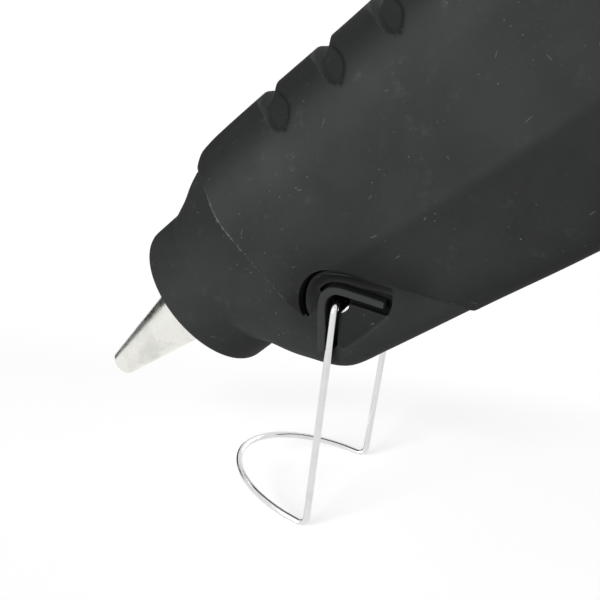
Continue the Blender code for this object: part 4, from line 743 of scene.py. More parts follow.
class Nodes:
    """Short calls for adding and joining the nodes of one tree."""

    def __init__(self, tree):
        self.tree = tree

    def add(self, kind, values=(), **settings):
        """A new node, each of its values set, or joined where the value is a socket."""
        node = self.tree.nodes.new(kind)
        for name, value in settings.items():
            setattr(node, name, value)
        for socket, value in dict(values).items():
            if isinstance(value, bpy.types.NodeSocket):
                self.tree.links.new(value, node.inputs[socket])
            else:
                node.inputs[socket].default_value = value
        return node

    def noise(self, vector, scale, detail, rough=0.5):
        """A noise texture's value."""
        values = {"Vector": vector, "Scale": scale, "Detail": detail, "Roughness": rough}
        return self.add("ShaderNodeTexNoise", values).outputs["Fac"]

    def ramp(self, value, low, high, start=0.0, end=1.0):
        """A smooth step from start, where value is low, to end, where it is high."""
        values = {0: value, 1: low, 2: high, 3: start, 4: end}
        return self.add("ShaderNodeMapRange", values, interpolation_type="SMOOTHSTEP").outputs[0]

    def math(self, operation, first, second=0.0):
        """One sum on two values."""
        values = {0: first, 1: second}
        return self.add("ShaderNodeMath", values, operation=operation).outputs[0]

    def mix(self, share, first, second):
        """Two colours, mixed by the second one's share."""
        node = self.add("ShaderNodeMix", {0: share}, data_type="RGBA")
        for socket, value in ((6, first), (7, second)):
            if isinstance(value, bpy.types.NodeSocket):
                self.tree.links.new(value, node.inputs[socket])
            else:
                node.inputs[socket].default_value = value
        return node.outputs[2]


def dust_group():
    """Specks of dust: small cells of a Voronoi pattern kept where noise allows."""
    found = bpy.data.node_groups.get("Dust Specks")
    if found:
        return found
    inputs = [("Scale", 900.0), ("Amount", 0.5)]
    group, n, enter, leave, place = new_group("Dust Specks", inputs, ["Mask"])
    cells = n.add("ShaderNodeTexVoronoi", {"Vector": place, "Scale": enter.outputs["Scale"]})
    near = n.ramp(cells.outputs["Distance"], 0.06, 0.17, 1.0, 0.0)
    pick = n.add("ShaderNodeSeparateColor", {0: cells.outputs["Color"]}).outputs[0]
    chosen = n.math("GREATER_THAN", enter.outputs["Amount"], pick)
    patch = n.ramp(n.noise(place, 60.0, 2.0), 0.42, 0.62)
    mask = n.math("MULTIPLY", n.math("MULTIPLY", near, chosen), patch)
    group.links.new(mask, leave.inputs["Mask"])
    return group


def mottle_group():
    """Large soft clouds and fine grain, two values round a half."""
    found = bpy.data.node_groups.get("Mottle")
    if found:
        return found
    inputs = [("Cloud Scale", 45.0), ("Grain Scale", 1400.0)]
    group, n, enter, leave, place = new_group("Mottle", inputs, ["Clouds", "Grain"])
    clouds = n.noise(place, enter.outputs["Cloud Scale"], 4.0, 0.6)
    grain = n.noise(place, enter.outputs["Grain Scale"], 2.0, 0.5)
    group.links.new(clouds, leave.inputs["Clouds"])
    group.links.new(grain, leave.inputs["Grain"])
    return group


def new_material(name):
    """A material with an empty tree but for its Principled shader: (material, nodes, shader)."""
    made = bpy.data.materials.new(name)
    made.use_nodes = True
    n = Nodes(made.node_tree)
    shader = made.node_tree.nodes["Principled BSDF"]
    return made, n, shader


def grain_bump(n, height, strength, distance, shader):
    """Lets a height stand off the surface by up to a distance."""
    values = {"Strength": strength, "Distance": distance, "Height": height}
    link(n, n.add("ShaderNodeBump", values).outputs[0], shader, "Normal")


def link(n, value, shader, socket):
    """Joins a value to one of the shader's sockets."""
    n.tree.links.new(value, shader.inputs[socket])


def scaled(colour, factor):
    """A colour times a factor, with its alpha."""
    return (*(min(1.0, c * factor) for c in colour), 1.0)


FULL_TURN = 6.283
# Shares of the plastic's base colour, and the colours that lie on it
CLOUD_SHADES, BLOTCH_SHADE = (0.88, 1.15), 2.0
DUST, LINT, WORN_EDGE = (0.42, 0.42, 0.41, 1.0), (0.42, 0.42, 0.40, 1.0), (0.34, 0.34, 0.33, 1.0)


def lint_group():
    """Short hairs of lint on the side view's plane: in some cells of a Voronoi pattern, the
    points near a bent line through the cell's middle, at the cell's own angle."""
    found = bpy.data.node_groups.get("Lint")
    if found:
        return found
    inputs = [("Scale", 95.0), ("Amount", 0.4)]
    group, n, enter, leave, place = new_group("Lint", inputs, ["Mask"])
    parts = n.add("ShaderNodeSeparateXYZ", {0: place})
    bend = n.math("MULTIPLY", n.math("SUBTRACT", n.noise(place, 420.0, 2.0), 0.5), 1.2 * MM)
    flat = n.add(
        "ShaderNodeCombineXYZ", {0: parts.outputs[0], 1: n.math("ADD", parts.outputs[2], bend)}
    ).outputs[0]
    cells = n.add(
        "ShaderNodeTexVoronoi", {"Vector": flat, "Scale": enter.outputs["Scale"]},
        voronoi_dimensions="2D",
    )
    off = n.add(
        "ShaderNodeVectorMath", {0: flat, 1: cells.outputs["Position"]}, operation="SUBTRACT"
    ).outputs[0]
    random = n.add("ShaderNodeSeparateColor", {0: cells.outputs["Color"]})
    turned = n.add(
        "ShaderNodeVectorRotate",
        {"Vector": off, "Angle": n.math("MULTIPLY", random.outputs[0], FULL_TURN)},
        rotation_type="Z_AXIS",
    )
    own = n.add("ShaderNodeSeparateXYZ", {0: turned.outputs[0]})
    along, beside = (n.math("ABSOLUTE", own.outputs[i]) for i in (0, 1))
    reach = n.math("ADD", n.math("MULTIPLY", random.outputs[1], 0.8 * MM), 0.4 * MM)
    long = n.ramp(along, 0.2 * MM, reach, 1.0, 0.0)
    thin = n.ramp(beside, 0.03 * MM, 0.1 * MM, 1.0, 0.0)
    line = n.math("MULTIPLY", long, thin)
    chosen = n.math("GREATER_THAN", enter.outputs["Amount"], random.outputs[2])
    group.links.new(n.math("MULTIPLY", line, chosen), leave.inputs["Mask"])
    return group


def plastic_material(name, colour, rough, dusty, worn):
    """Fine matt moulded plastic: clouded, blotched, grained and dusted.

    With worn set, the points' painted shade and highlight scale its colour, hairs of lint lie on
    it, and its edges are scuffed where the points' worn value and a fine noise add up.
    """
    found = bpy.data.materials.get(name)
    if found:
        return found
    made, n, shader = new_material(name)
    place = n.add("ShaderNodeTexCoord").outputs["Object"]
    mottle = n.add("ShaderNodeGroup", node_tree=mottle_group())
    clouds = n.ramp(mottle.outputs["Clouds"], 0.34, 0.70)
    base = n.mix(clouds, *(scaled(colour, shade) for shade in CLOUD_SHADES))
    blotch = n.ramp(n.noise(place, 260.0, 4.0, 0.65), 0.58, 0.78)
    base = n.mix(n.math("MULTIPLY", blotch, 0.42), base, scaled(colour, BLOTCH_SHADE))
    if worn:
        # Painted shade and highlight, stored on the points, scale the colour
        tone = n.add("ShaderNodeAttribute", attribute_name="tone").outputs["Fac"]
        base = n.add(
            "ShaderNodeVectorMath", {0: base, "Scale": tone}, operation="SCALE"
        ).outputs[0]
    specks = n.add("ShaderNodeGroup", {"Amount": dusty}, node_tree=dust_group())
    base = n.mix(n.math("MULTIPLY", specks.outputs["Mask"], 0.22), base, DUST)
    fine = n.add(
        "ShaderNodeGroup", {"Scale": 2300.0, "Amount": dusty * 2.4}, node_tree=dust_group()
    )
    base = n.mix(n.math("MULTIPLY", fine.outputs["Mask"], 0.12), base, DUST)
    if worn:
        lint = n.add("ShaderNodeGroup", node_tree=lint_group())
        base = n.mix(n.math("MULTIPLY", lint.outputs["Mask"], 0.16), base, LINT)
        wear = n.add("ShaderNodeAttribute", attribute_name="worn").outputs["Fac"]
        rough_edge = n.math("SUBTRACT", n.noise(place, 900.0, 4.0, 0.7), 0.5)
        uneven = n.ramp(n.noise(place, 150.0, 2.0), 0.38, 0.62, 0.45, 1.0)
        reached = n.math("ADD", wear, n.math("MULTIPLY", rough_edge, 2.4))
        share = n.math("MULTIPLY", n.ramp(reached, 0.30, 1.0), n.ramp(wear, 0.02, 0.2))
        share = n.math("MULTIPLY", n.math("MULTIPLY", share, uneven), 0.50)
        base = n.mix(share, base, WORN_EDGE)
    link(n, base, shader, "Base Color")
    sheen = n.ramp(mottle.outputs["Clouds"], 0.3, 0.75, rough - 0.05, rough + 0.07)
    link(n, sheen, shader, "Roughness")
    grain_bump(n, mottle.outputs["Grain"], 0.22, 0.12 * MM, shader)
    shader.inputs["Specular IOR Level"].default_value = 0.02
    return made


def rubber_material():
    """Soft dark silicone with a fine grain."""
    found = bpy.data.materials.get("Silicone")
    if found:
        return found
    made, n, shader = new_material("Silicone")
    mottle = n.add("ShaderNodeGroup", {"Grain Scale": 900.0}, node_tree=mottle_group())
    clouds = n.ramp(mottle.outputs["Clouds"], 0.35, 0.65)
    colour = colours().rubber
    link(n, n.mix(clouds, scaled(colour, 0.85), scaled(colour, 1.25)), shader, "Base Color")
    link(n, n.ramp(mottle.outputs["Grain"], 0.3, 0.7, 0.62, 0.78), shader, "Roughness")
    grain_bump(n, mottle.outputs["Grain"], 0.2, 0.1 * MM, shader)
    return made


def metal_material(name, colour, rough, rings, stain):
    """Metal with fine lathe marks where rings is set, and a cloudy stain of old glue or handling.
    """
    found = bpy.data.materials.get(name)
    if found:
        return found
    made, n, shader = new_material(name)
    mottle = n.add("ShaderNodeGroup", {"Cloud Scale": 160.0}, node_tree=mottle_group())
    clouds = n.ramp(mottle.outputs["Clouds"], 0.45, 0.72)
    share = n.math("MULTIPLY", clouds, stain)
    base = n.mix(share, scaled(colour, 1.0), scaled(colour, 0.72))
    link(n, base, shader, "Base Color")
    link(n, n.ramp(mottle.outputs["Clouds"], 0.3, 0.75, rough, rough + 0.16), shader, "Roughness")
    shader.inputs["Metallic"].default_value = 1.0
    if rings:
        place = n.add("ShaderNodeTexCoord").outputs["Object"]
        dip = sizes().dip
        turned = n.add(
            "ShaderNodeMapping", {"Vector": place, "Rotation": (0.0, dip, 0.0)}, vector_type="POINT"
        )
        wave = n.add(
            "ShaderNodeTexWave",
            {"Vector": turned.outputs[0], "Scale": rings, "Distortion": 0.6, "Detail": 2.0},
            bands_direction="X",
        )
        grain_bump(n, wave.outputs["Fac"], 0.12, 0.04 * MM, shader)
    return made


def ceramic_material():
    """Unglazed white ceramic."""
    found = bpy.data.materials.get("Ceramic")
    if found:
        return found
    made, n, shader = new_material("Ceramic")
    mottle = n.add("ShaderNodeGroup", {"Cloud Scale": 220.0}, node_tree=mottle_group())
    clouds = n.ramp(mottle.outputs["Clouds"], 0.35, 0.7)
    link(n, n.mix(clouds, (0.80, 0.78, 0.72, 1.0), (0.70, 0.68, 0.61, 1.0)), shader, "Base Color")
    link(n, n.ramp(mottle.outputs["Grain"], 0.3, 0.7, 0.5, 0.65), shader, "Roughness")
    return made


def case_material():
    """The case's worn black plastic."""
    return plastic_material("Case Plastic", colours().case, 0.62, 0.24, True)


def trigger_material():
    """The smoother, cleaner black plastic of what moves."""
    return plastic_material("Trigger Plastic", colours().trigger, 0.55, 0.06, False)


def wire_material():
    """Bright plated steel."""
    return metal_material("Plated Steel", colours().plating, 0.10, 0, 0.25)


def nozzle_material():
    """Turned aluminium with lathe marks."""
    return metal_material("Turned Aluminium", colours().metal, 0.20, 260.0, 0.6)


# The worn lines in the side view: (points, width in millimetres, share)
WORN_LINES = ((CREASE[1:11], 0.22, 1.0), (CREASE[2:11], 0.9, 0.24), (HOOD[11:15], 0.16, 0.35))
# Painted shade in the scoops' hollows, a painted highlight on their strips, and the shares of
# painted shade at their edges and below the ridge
HOLLOW_SHADE, STRIP_HIGHLIGHT, EDGE_SHADE, RIDGE_SHADE = 0.74, 1.55, 0.5, 0.25
# Painted shade round the wire's hole: on the plate, in the channel and the groove, and on the rib's
# sides; a painted highlight on the rib's top; and the share and reach of the shade painted on the
# flank under the hood's edge
PLATE_SHADE, CHANNEL_SHADE, GROOVE_SHADE, RIB_SIDE_SHADE, RIB_TOP_HIGHLIGHT = 0.66, 0.42, 0.22, 0.8, 1.22
HOOD_SHADE, HOOD_REACH = 0.30, 5 * MM
# The band between the slot and the channel: the shade painted on it, the highlight painted along
# its lower edge, and the share of light painted on its front end
BAND_SHADE, BAND_EDGE_HIGHLIGHT, BAND_FRONT_LIGHT = 0.30, 0.24, 0.75
PLATE_EDGE, PLATE_EDGE_GAIN = ((6.3, -7.4), (0.5, -7.75), (-4.9, -7.6)), 0.55


def paint_surface(obj):
    """Stores how worn each point of a case half is, and the shade and highlight painted on it.

    worn is the largest share exp(-(d / width)^2), with d the distance to a worn line in the
    side view. The other value scales the colour with painted shade and highlight: darker on the
    crown's top, in the scoops, below the ridge and round the wire's hole, lighter on the crown's
    shoulders and the rib's top.
    """
    count = len(obj.data.vertices)
    flat = np.empty(count * 3, np.float32)
    obj.data.vertices.foreach_get("co", flat)
    points = to_gun(flat.reshape(-1, 3))
    s, out, h = points[:, 0], np.abs(points[:, 1]), points[:, 2]
    side = points[:, [0, 2]]
    worn = np.zeros(count)
    near = (s < 56 * MM) & (h < 24 * MM) & (out > 4 * MM)
    for line, width, share in WORN_LINES:
        off = distance_to(side[near], softened(around_pivot(line), 4))
        worn[near] = np.maximum(worn[near], share * np.exp(-((off / (width * MM)) ** 2)))
    swing = crown_swing(s, out, h)
    # Shade painted on the crown's top and a highlight painted on its shoulders
    main = smooth_curve(CROWN_SHADING, swing)
    # Each scoop's painted highlight strip, and its painted shade in the hollow and at the edges
    for place, wide in SCOOPS:
        _, strip, hollow, edge = scoop_parts(s, swing, place, wide)
        main = main + (HOLLOW_SHADE - main) * hollow
        main = main + (STRIP_HIGHLIGHT - main) * strip
        main = main * (1 - EDGE_SHADE * edge)
    # Shade painted on the lower flank below the ridge
    ridge = -RIDGE * smooth_curve(RIDGE_SHARES, s / BARREL_END)
    main = main * (1 - RIDGE_SHADE * ease(0.8 * MM, -1.6 * MM, h - ridge))
    # Shade painted on the neck's top
    around = np.degrees(np.arctan2(out, h))
    neck = smooth_curve(NECK_SHADING, around)
    line = front_edge_line()
    region = np.vstack([line, [(BARREL_END * 2, -60 * MM), (BARREL_END * 2, 52 * MM)]])
    tone = neck + (main - neck) * ease(-0.1 * MM, 0.2 * MM, distance_inside(side, region))
    tone = paint_hood(tone, side, out, near)
    for name, values in (("worn", worn), ("tone", tone)):
        kept = obj.data.attributes.new(name, "FLOAT", "POINT")
        kept.data.foreach_set("value", values.astype(np.float32))


def paint_hood(tone, side, out, near):
    """Painted shade and highlight round the wire's hole: shade on the flank under the hood, on the
    band, the plate and the rib's sides and in the recesses; highlights along the band's lower edge,
    on its front end and on the rib's top; and a lighter line along the plate's lower edge.
    """
    flat, far, old = side[near], out[near], tone[near]
    band = distance_inside(flat, np.vstack([
        around_pivot(SLOT_INNER), around_pivot(WELL_ABOVE)[::-1], around_pivot(RIB_OUTER[4:1:-1]),
    ]))
    hood = distance_to(flat, softened(around_pivot(HOOD[:12]), 4))
    # Shade painted on the flank under the hood's edge
    made = old * (1 - HOOD_SHADE * np.exp(-((hood / HOOD_REACH) ** 2)) * (band < 0))
    # Shade painted on the band, a highlight along its lower edge and light on its front end
    rim = ease(1.0 * MM, 0.2 * MM, distance_to(flat, softened(around_pivot(WELL_ABOVE), 4)))
    left = ease(0, -4.5 * MM, flat[:, 0] - sizes().pivot_back)
    shade = (BAND_SHADE + BAND_EDGE_HIGHLIGHT * rim) * (1 + BAND_FRONT_LIGHT * left)
    made = made + (shade - made) * ease(-0.15 * MM, 0.25 * MM, band)
    # Shade painted on the plate, and a lighter line along its lower edge
    plate = np.vstack([around_pivot(WELL_BELOW), around_pivot(PLATE_FOOT)])
    made = made + (PLATE_SHADE - made) * ease(-0.1 * MM, 0.3 * MM, distance_inside(flat, plate))
    foot = distance_to(flat, around_pivot(PLATE_EDGE))
    made = made * (1 + PLATE_EDGE_GAIN * np.exp(-((foot / (0.24 * MM)) ** 2)))
    # Shade painted in the sunk slot, channel and groove
    pit = np.maximum(distance_inside(flat, well_outline()), distance_inside(flat, slot_outline()))
    sunk = (far < FLANK - 0.4 * MM) & (far > FLANK - 2.6 * MM)
    outer, inner = (distance_to(flat, around_pivot(line)) for line in (RIB_OUTER, RIB_INNER))
    recess = np.where(outer < inner, CHANNEL_SHADE, GROOVE_SHADE)
    made = np.where(sunk & (pit > -0.2 * MM), recess, made)
    # Shade painted on the rib's sides and a highlight painted on its top
    rib = np.vstack([around_pivot(RIB_OUTER), around_pivot(RIB_INNER)[::-1]])
    on_rib = distance_inside(flat, rib) > -0.35 * MM
    made = np.where(on_rib & (far > FLANK + 0.3 * MM), RIB_SIDE_SHADE, made)
    made = np.where(on_rib & (far > FLANK + 1.35 * MM), RIB_TOP_HIGHLIGHT, made)
    tone[near] = made
    return tone


def screw_spots():
    """The (s, h) place of each case screw, read back from its CAD node's box."""
    spots = []
    for name in sorted(frame["nodes"]):
        if name.startswith("case_screw"):
            low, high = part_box(name)
            middle = (np.array(low) + np.array(high)) / 2
            spots.append(to_gun(middle[None])[0][[0, 2]])
    return spots


# The rim round the nozzle
RIM_RADIUS, RIM_LENGTH, RIM_ROUND = 17 * MM, 10.5 * MM, 1.2 * MM
# More than the gun's half width and height, for tools that reach right through it
ACROSS, TALL = 40 * MM, 60 * MM
# Bores on the stick's axis in millimetres: (name, start, end, radius, points round it)
BORES = (("rim_bore", -5, 11.3, 14.8, 128), ("neck_bore", 0, 14.2, 8.9, 64),
         ("guide_bore", 150, 171, 10.1, 96))
# The radii of the holes for the wire, the screws' heads and the lead bush, and how far out the
# heads' holes start and all the holes across the gun end
WIRE_HOLE, HEAD_HOLE, BUSH_HOLE = 1 * MM, 3 * MM, 6.1 * MM
HEADS_FROM, HOLES_TO = 7 * MM, 30 * MM
# The trigger's slot in the case, in millimetres from the trigger's pivot
TRIGGER_SLOT = ((-18.6, 0), (-18.6, -20.7), (0, -50), (23.4, -50), (8.8, 0))
TRIGGER_SLOT_HALF = 8.1 * MM


def joint_place(name):
    """A joint's place in the gun's frame."""
    return to_gun(np.array(JOINTS[name]["pos_m"], float)[None])[0]


def case_tools():
    """The collar and the grip that join the barrel, and the forms that hollow all three."""
    size = sizes()
    collar = [(0, 1e-6), (0, RIM_RADIUS), (RIM_LENGTH, RIM_RADIUS), (RIM_LENGTH, 1e-6)]
    collar = turned_object("collar", rounded_profile(collar, (0, RIM_ROUND, 0, 0), 8), 160)
    grip = grid_object("grip_outer", grip_rings())
    ground = slab("stance", stance_line(), ACROSS)
    carve(grip, [("INTERSECT", [ground])])
    rows, half = barrel_skin(size.wall)
    keep = np.ix_(range(4, len(rows) - 6, 4), np.r_[0 : rows.shape[1] - 1 : 3, -1])
    inner = grid_object("case_inner", full_ring(rows[keep], half[keep]))
    ends = np.array([(-9 * MM, -TALL), (14 * MM, -TALL), (14 * MM, TALL), (-9 * MM, TALL)])
    front = slab("inner_front", ends, ACROSS)
    carve(inner, [("DIFFERENCE", [front])])
    hollow = grid_object("grip_inner", grip_rings(size.wall))
    raised = slab("inner_stance", stance_line(size.wall), ACROSS)
    carve(hollow, [("INTERSECT", [raised])])
    drop([ground, front, raised])
    return [collar, grip], [inner, hollow]


def case_cuts():
    """The bores, the wire's hole, the trigger's slot, and the bush's and the screws' holes."""
    size = sizes()
    pivot = (size.pivot_back, -size.pivot_drop)
    slot = joint_place("trigger_pull")[[0, 2]] + np.array(TRIGGER_SLOT) * MM
    middle, out = butt_end()
    cuts = [
        plug(name, (start * MM, 0, 0), (end * MM, 0, 0), radius * MM, count)
        for name, start, end, radius, count in BORES
    ]
    start, end = ((pivot[0], side * HOLES_TO, pivot[1]) for side in (-1, 1))
    cuts += [
        plug("wire_hole", start, end, WIRE_HOLE, 40),
        slab("trigger_slot", slot, TRIGGER_SLOT_HALF),
        plug("bush_hole", middle - out * 7.2 * MM, middle + out * 5 * MM, BUSH_HOLE, 72),
    ]
    for number, (at, up) in enumerate(screw_spots()):
        start, end = (at, HEADS_FROM, up), (at, HOLES_TO, up)
        cuts.append(plug(f"head_{number}", start, end, HEAD_HOLE, 48))
    return cuts


class GLUEGUN_OT_case(bpy.types.Operator):
    """Moulds the two halves of the case as smooth hollow skins"""

    bl_idname = "glue_gun.case"
    bl_label = "Case Halves"

    def execute(self, context):
        body = grid_object("case_outer", full_ring(*barrel_skin()))
        joined, hollows = case_tools()
        cuts = case_cuts()
        for side in (-1, 1):
            sunk, ribs, holes = flank_tools(side)
            carve(body, [("DIFFERENCE", sunk), ("UNION", ribs)])
            drop(sunk + ribs)
            cuts += holes
        carve(body, [("UNION", joined), ("DIFFERENCE", hollows + cuts)])
        outline = np.array([(-10, -200), (200, -200), (200, 60), (-10, 60)]) * MM
        for name, side in (("left", -1), ("right", 1)):
            half = bpy.data.objects.new(f"{name}_case_skin", body.data.copy())
            context.scene.collection.objects.link(half)
            near, far = side * sizes().split / 2, side * ACROSS
            room = slab("half", outline, abs(far - near) / 2, (near + far) / 2)
            carve(half, [("INTERSECT", [room])])
            drop([room])
            paint_surface(half)
            finished(half, case_material(), "housing", [f"{name}_shell"], 24)
        drop(joined + hollows + cuts + [body])
        return {"FINISHED"}


def evenly(line, count):
    """This many points at even distances along an open line."""
    far = np.concatenate([[0], np.cumsum(np.linalg.norm(np.diff(line, axis=0), axis=1))])
    at = np.linspace(0, far[-1], count)
    return np.stack([np.interp(at, far, line[:, i]) for i in (0, 1)], -1)


# The rib's rounded edges and how far it goes into the case, and the depth of well and slot
RIB_ROUND, RIB_ROOT, WELL_DEPTH = 0.32 * MM, 1.95 * MM, 1.7 * MM
# The hole that the wire goes in by, in millimetres from its pivot
HOLE_PLACE, HOLE_RADIUS = (0.55, 0.1), 1.55 * MM


def rib_strip(name, side):
    """The stop rib of one flank, as cross sections from its foot to its end.

    A section is inner + (outer - inner) w at height z off the flank. Its (w, z) outline is a
    rectangle that goes into the case, and its two upper corners are quarter circles.
    """
    outer = evenly(softened(around_pivot(RIB_OUTER), 6), 72)
    inner = evenly(softened(around_pivot(RIB_INNER), 6), 72)
    height, edge, root = sizes().rib_height, RIB_ROUND, -RIB_ROOT
    angle = np.radians(np.linspace(0, 90, 6))
    lift = np.concatenate([[root], height - edge * (1 - np.sin(angle)),
                           height - edge * (1 - np.sin(angle[::-1])), [root]])
    draw = np.concatenate([[0], edge * (1 - np.cos(angle)), -edge * (1 - np.cos(angle[::-1])), [0]])
    across = np.repeat((0.0, 1.0), len(angle) + 1)
    wide = outer - inner
    size = np.linalg.norm(wide, axis=1)
    share = across + draw / size[:, None]
    flat = inner[:, None] + wide[:, None] * share[..., None]
    grid = np.stack([flat[..., 0], 0 * share + side * (FLANK + lift), flat[..., 1]], -1)
    return grid_object(name, grid)


def well_outline():
    """The sunk ground round the stop rib: the channel outside it and the groove inside it."""
    above, below = (softened(around_pivot(line), 5) for line in (WELL_ABOVE, WELL_BELOW))
    return np.vstack([above, around_pivot(WELL_END), below, around_pivot(WELL_UNDER_RIB)])


def slot_outline():
    """The narrow slot under the hood's edge."""
    hood = softened(around_pivot(HOOD[:11]), 6)
    widths = np.interp(np.linspace(0, 10, len(hood)), np.arange(11), SLOT_WIDTHS) * MM
    return np.vstack([moved(hood, 0.1 * MM), moved(hood, -widths)[::-1]])


def flank_tools(side):
    """Cutters and the rib for one flank, as (sunk, ribs, holes).

    The well surrounds the stop rib, the slot runs under the hood's edge, and the wire goes
    in by the hole.
    """

    def sunk(name, outline):
        reach = 12 * MM
        return slab(name, outline, reach / 2, side * (FLANK - WELL_DEPTH + reach / 2))

    at, up = around_pivot((HOLE_PLACE,))[0]
    start, end = (at, side * 12 * MM, up), (at, side * HOLES_TO, up)
    hole = plug("hole", start, end, HOLE_RADIUS, 48)
    sinks = [sunk("well", well_outline()), sunk("slot", slot_outline())]
    return sinks, [rib_strip("rib", side)], [hole]


# How far up the butt's end face the lead bush sits
BUSH_SHARE = 0.52


def butt_end():
    """The middle of the butt's end face, and its outward direction, in the gun's frame."""
    outline = stance_line()
    corner, heel = outline[1], outline[2]
    run = unit(heel - corner)
    middle = corner + run * (GRIP_DEPTH - TOE) * BUSH_SHARE
    return np.array((middle[0], 0, middle[1])), np.array((run[1], 0, -run[0]))


# Turned outlines in millimetres, as (place along the axis, radius), and how round each corner
# is. The bush's places run inwards from the butt's end face.
NOZZLE = ((-29.4, 1.4), (-29.4, 2.85), (-28.6, 2.98), (0.0, 7.7), (1.0, 8.3), (3.4, 8.3),
          (3.4, 4.8), (11.4, 4.8), (11.4, 2.6), (-23.4, 0.9), (-28.8, 0.9))
NOZZLE_ROUNDS = (0.2, 0.55, 0.5, 0.3, 0.2, 0.2, 0.2, 0.2, 0.1, 0.1, 0.1)
RING = ((1.0, 8.9), (1.0, 14.4), (11.0, 14.4), (11.0, 8.9))
GUIDE = ((157.4, 6.8), (157.4, 9.8), (166.3, 9.8), (166.3, 12.0), (168.5, 12.0), (168.5, 7.6),
         (167.6, 6.8))
BUSH = ((-2.1, 4.0), (-2.1, 6.7), (-0.3, 7.6), (0.0, 5.8), (2.7, 5.8), (4.5, 5.2), (4.5, 4.0))


def turned_piece(node, outline, rounds, steps, segments, look, place=None):
    """Turns the skin of one node from an outline in millimetres."""
    profile = rounded_profile(np.array(outline) * MM, np.array(rounds) * MM, steps)
    obj = turned_object(f"{node}_skin", profile, segments, place)
    return finished(obj, look, "housing", [node], 40)


class GLUEGUN_OT_nozzle(bpy.types.Operator):
    """Turns the metal nozzle with a rounded tip and a fine orifice"""

    bl_idname = "glue_gun.nozzle"
    bl_label = "Nozzle"

    def execute(self, context):
        turned_piece("nozzle", NOZZLE, NOZZLE_ROUNDS, 6, 128, nozzle_material())
        return {"FINISHED"}


class GLUEGUN_OT_silicone(bpy.types.Operator):
    """Turns the silicone ring inside the rim"""

    bl_idname = "glue_gun.silicone"
    bl_label = "Silicone Ring"

    def execute(self, context):
        turned_piece("nozzle_boot", RING, 0.9, 8, 112, rubber_material())
        return {"FINISHED"}


class GLUEGUN_OT_guide(bpy.types.Operator):
    """Turns the ring at the back that the glue stick goes in by"""

    bl_idname = "glue_gun.guide"
    bl_label = "Stick Guide"

    def execute(self, context):
        turned_piece("stick_guide", GUIDE, 0.7, 6, 112, trigger_material())
        return {"FINISHED"}


class GLUEGUN_OT_bush(bpy.types.Operator):
    """Turns the soft bush in the butt that a lead would enter by"""

    bl_idname = "glue_gun.bush"
    bl_label = "Lead Bush"

    def execute(self, context):
        middle, out = butt_end()
        side = np.array((0, 1, 0))
        third = np.cross(-out, side)

        def place(grid):
            """Sends (s, y, r) about the stick's axis to the bush's own axis."""
            return middle - grid[..., :1] * out + grid[..., 1:2] * side + grid[..., 2:] * third

        turned_piece("lead_bush", BUSH, 0.5, 5, 72, rubber_material(), place)
        return {"FINISHED"}


# The wire's legs, from the pivot to a foot: their length, and the foot's place before it and
# to the side. The half loop before the feet, its rise in degrees, and the bends' radius. Where
# the wire ends inside the case, and where it comes out to bend down.
LEG, FOOT_BEFORE, FOOT_ASIDE = 47.1, 6.5, 18.6
LOOP_DEPTH, LOOP_RISE, BEND = 22.8 * MM, 16.6, 1.6 * MM
WIRE_END, WIRE_BEND = 11.8 * MM, 20.6 * MM


def wire_path():
    """The stand's middle line in the world, about its pivot: legs, feet and half loop.

    The loop is (-D sin a cos r, W cos a, D sin a sin r) from one foot to the other, with D
    its depth, W half the feet's spacing and r its rise. Corners are arcs.
    """
    foot = np.array((-FOOT_BEFORE, FOOT_ASIDE, -math.sqrt(LEG**2 - FOOT_BEFORE**2))) * MM
    depth, rise = LOOP_DEPTH, math.radians(LOOP_RISE)
    angle = np.linspace(0, np.pi, 72)[1:-1]
    loop = np.stack(
        [
            foot[0] - depth * np.sin(angle) * math.cos(rise),
            foot[1] * np.cos(angle),
            foot[2] + depth * np.sin(angle) * math.sin(rise),
        ],
        -1,
    )
    rough = np.array([(0, WIRE_END, 0), (0, WIRE_BEND, 0), foot, loop[3]])
    left = [rough[:1]]
    for before, corner, after in zip(rough, rough[1:], rough[2:]):
        left.append(bend(before, corner, after, BEND, 14))
    left = np.vstack(left + [loop[4:5]])
    right = left[::-1] * (1, -1, 1)
    return np.vstack([left, loop[5:-5], right]) + np.array(JOINTS["stand_swing"]["pos_m"], float)


def bend(before, corner, after, radius, count):
    """Arc points of one corner in space: the circle touches both straight runs."""
    back, ahead = unit(before - corner), unit(after - corner)
    half = math.acos(float(back @ ahead)) / 2
    middle = corner + unit(back + ahead) * radius / math.sin(half)
    arm = corner + back * radius / math.tan(half) - middle
    last = corner + ahead * radius / math.tan(half) - middle
    angle = math.acos(float(unit(arm) @ unit(last)))
    t = np.linspace(0, 1, count)[:, None]
    return middle + (np.sin((1 - t) * angle) * arm + np.sin(t * angle) * last) / math.sin(angle)


def tube_rings(path, radius, count):
    """Rings square to a path. The first side vector is carried along, and each next one is
    it less its part along the path."""
    ahead = unit(np.gradient(path, axis=0))
    side = np.empty_like(path)
    side[0] = unit(np.cross(ahead[0], (0.2, 0.1, 0.97)))
    for i in range(1, len(path)):
        side[i] = unit(side[i - 1] - ahead[i] * (side[i - 1] @ ahead[i]))
    other = np.cross(ahead, side)
    angle = np.linspace(0, 2 * np.pi, count, endpoint=False)[None, :, None]
    return path[:, None] + radius * (np.cos(angle) * side[:, None] + np.sin(angle) * other[:, None])


class GLUEGUN_OT_stand(bpy.types.Operator):
    """Bends the bright wire stand"""

    bl_idname = "glue_gun.stand"
    bl_label = "Wire Stand"

    def execute(self, context):
        rings = tube_rings(wire_path(), sizes().wire, 28)
        obj = grid_object("wire_stand_skin", rings, world=False)
        finished(obj, wire_material(), "stand", ["wire_stand"], 50)
        return {"FINISHED"}


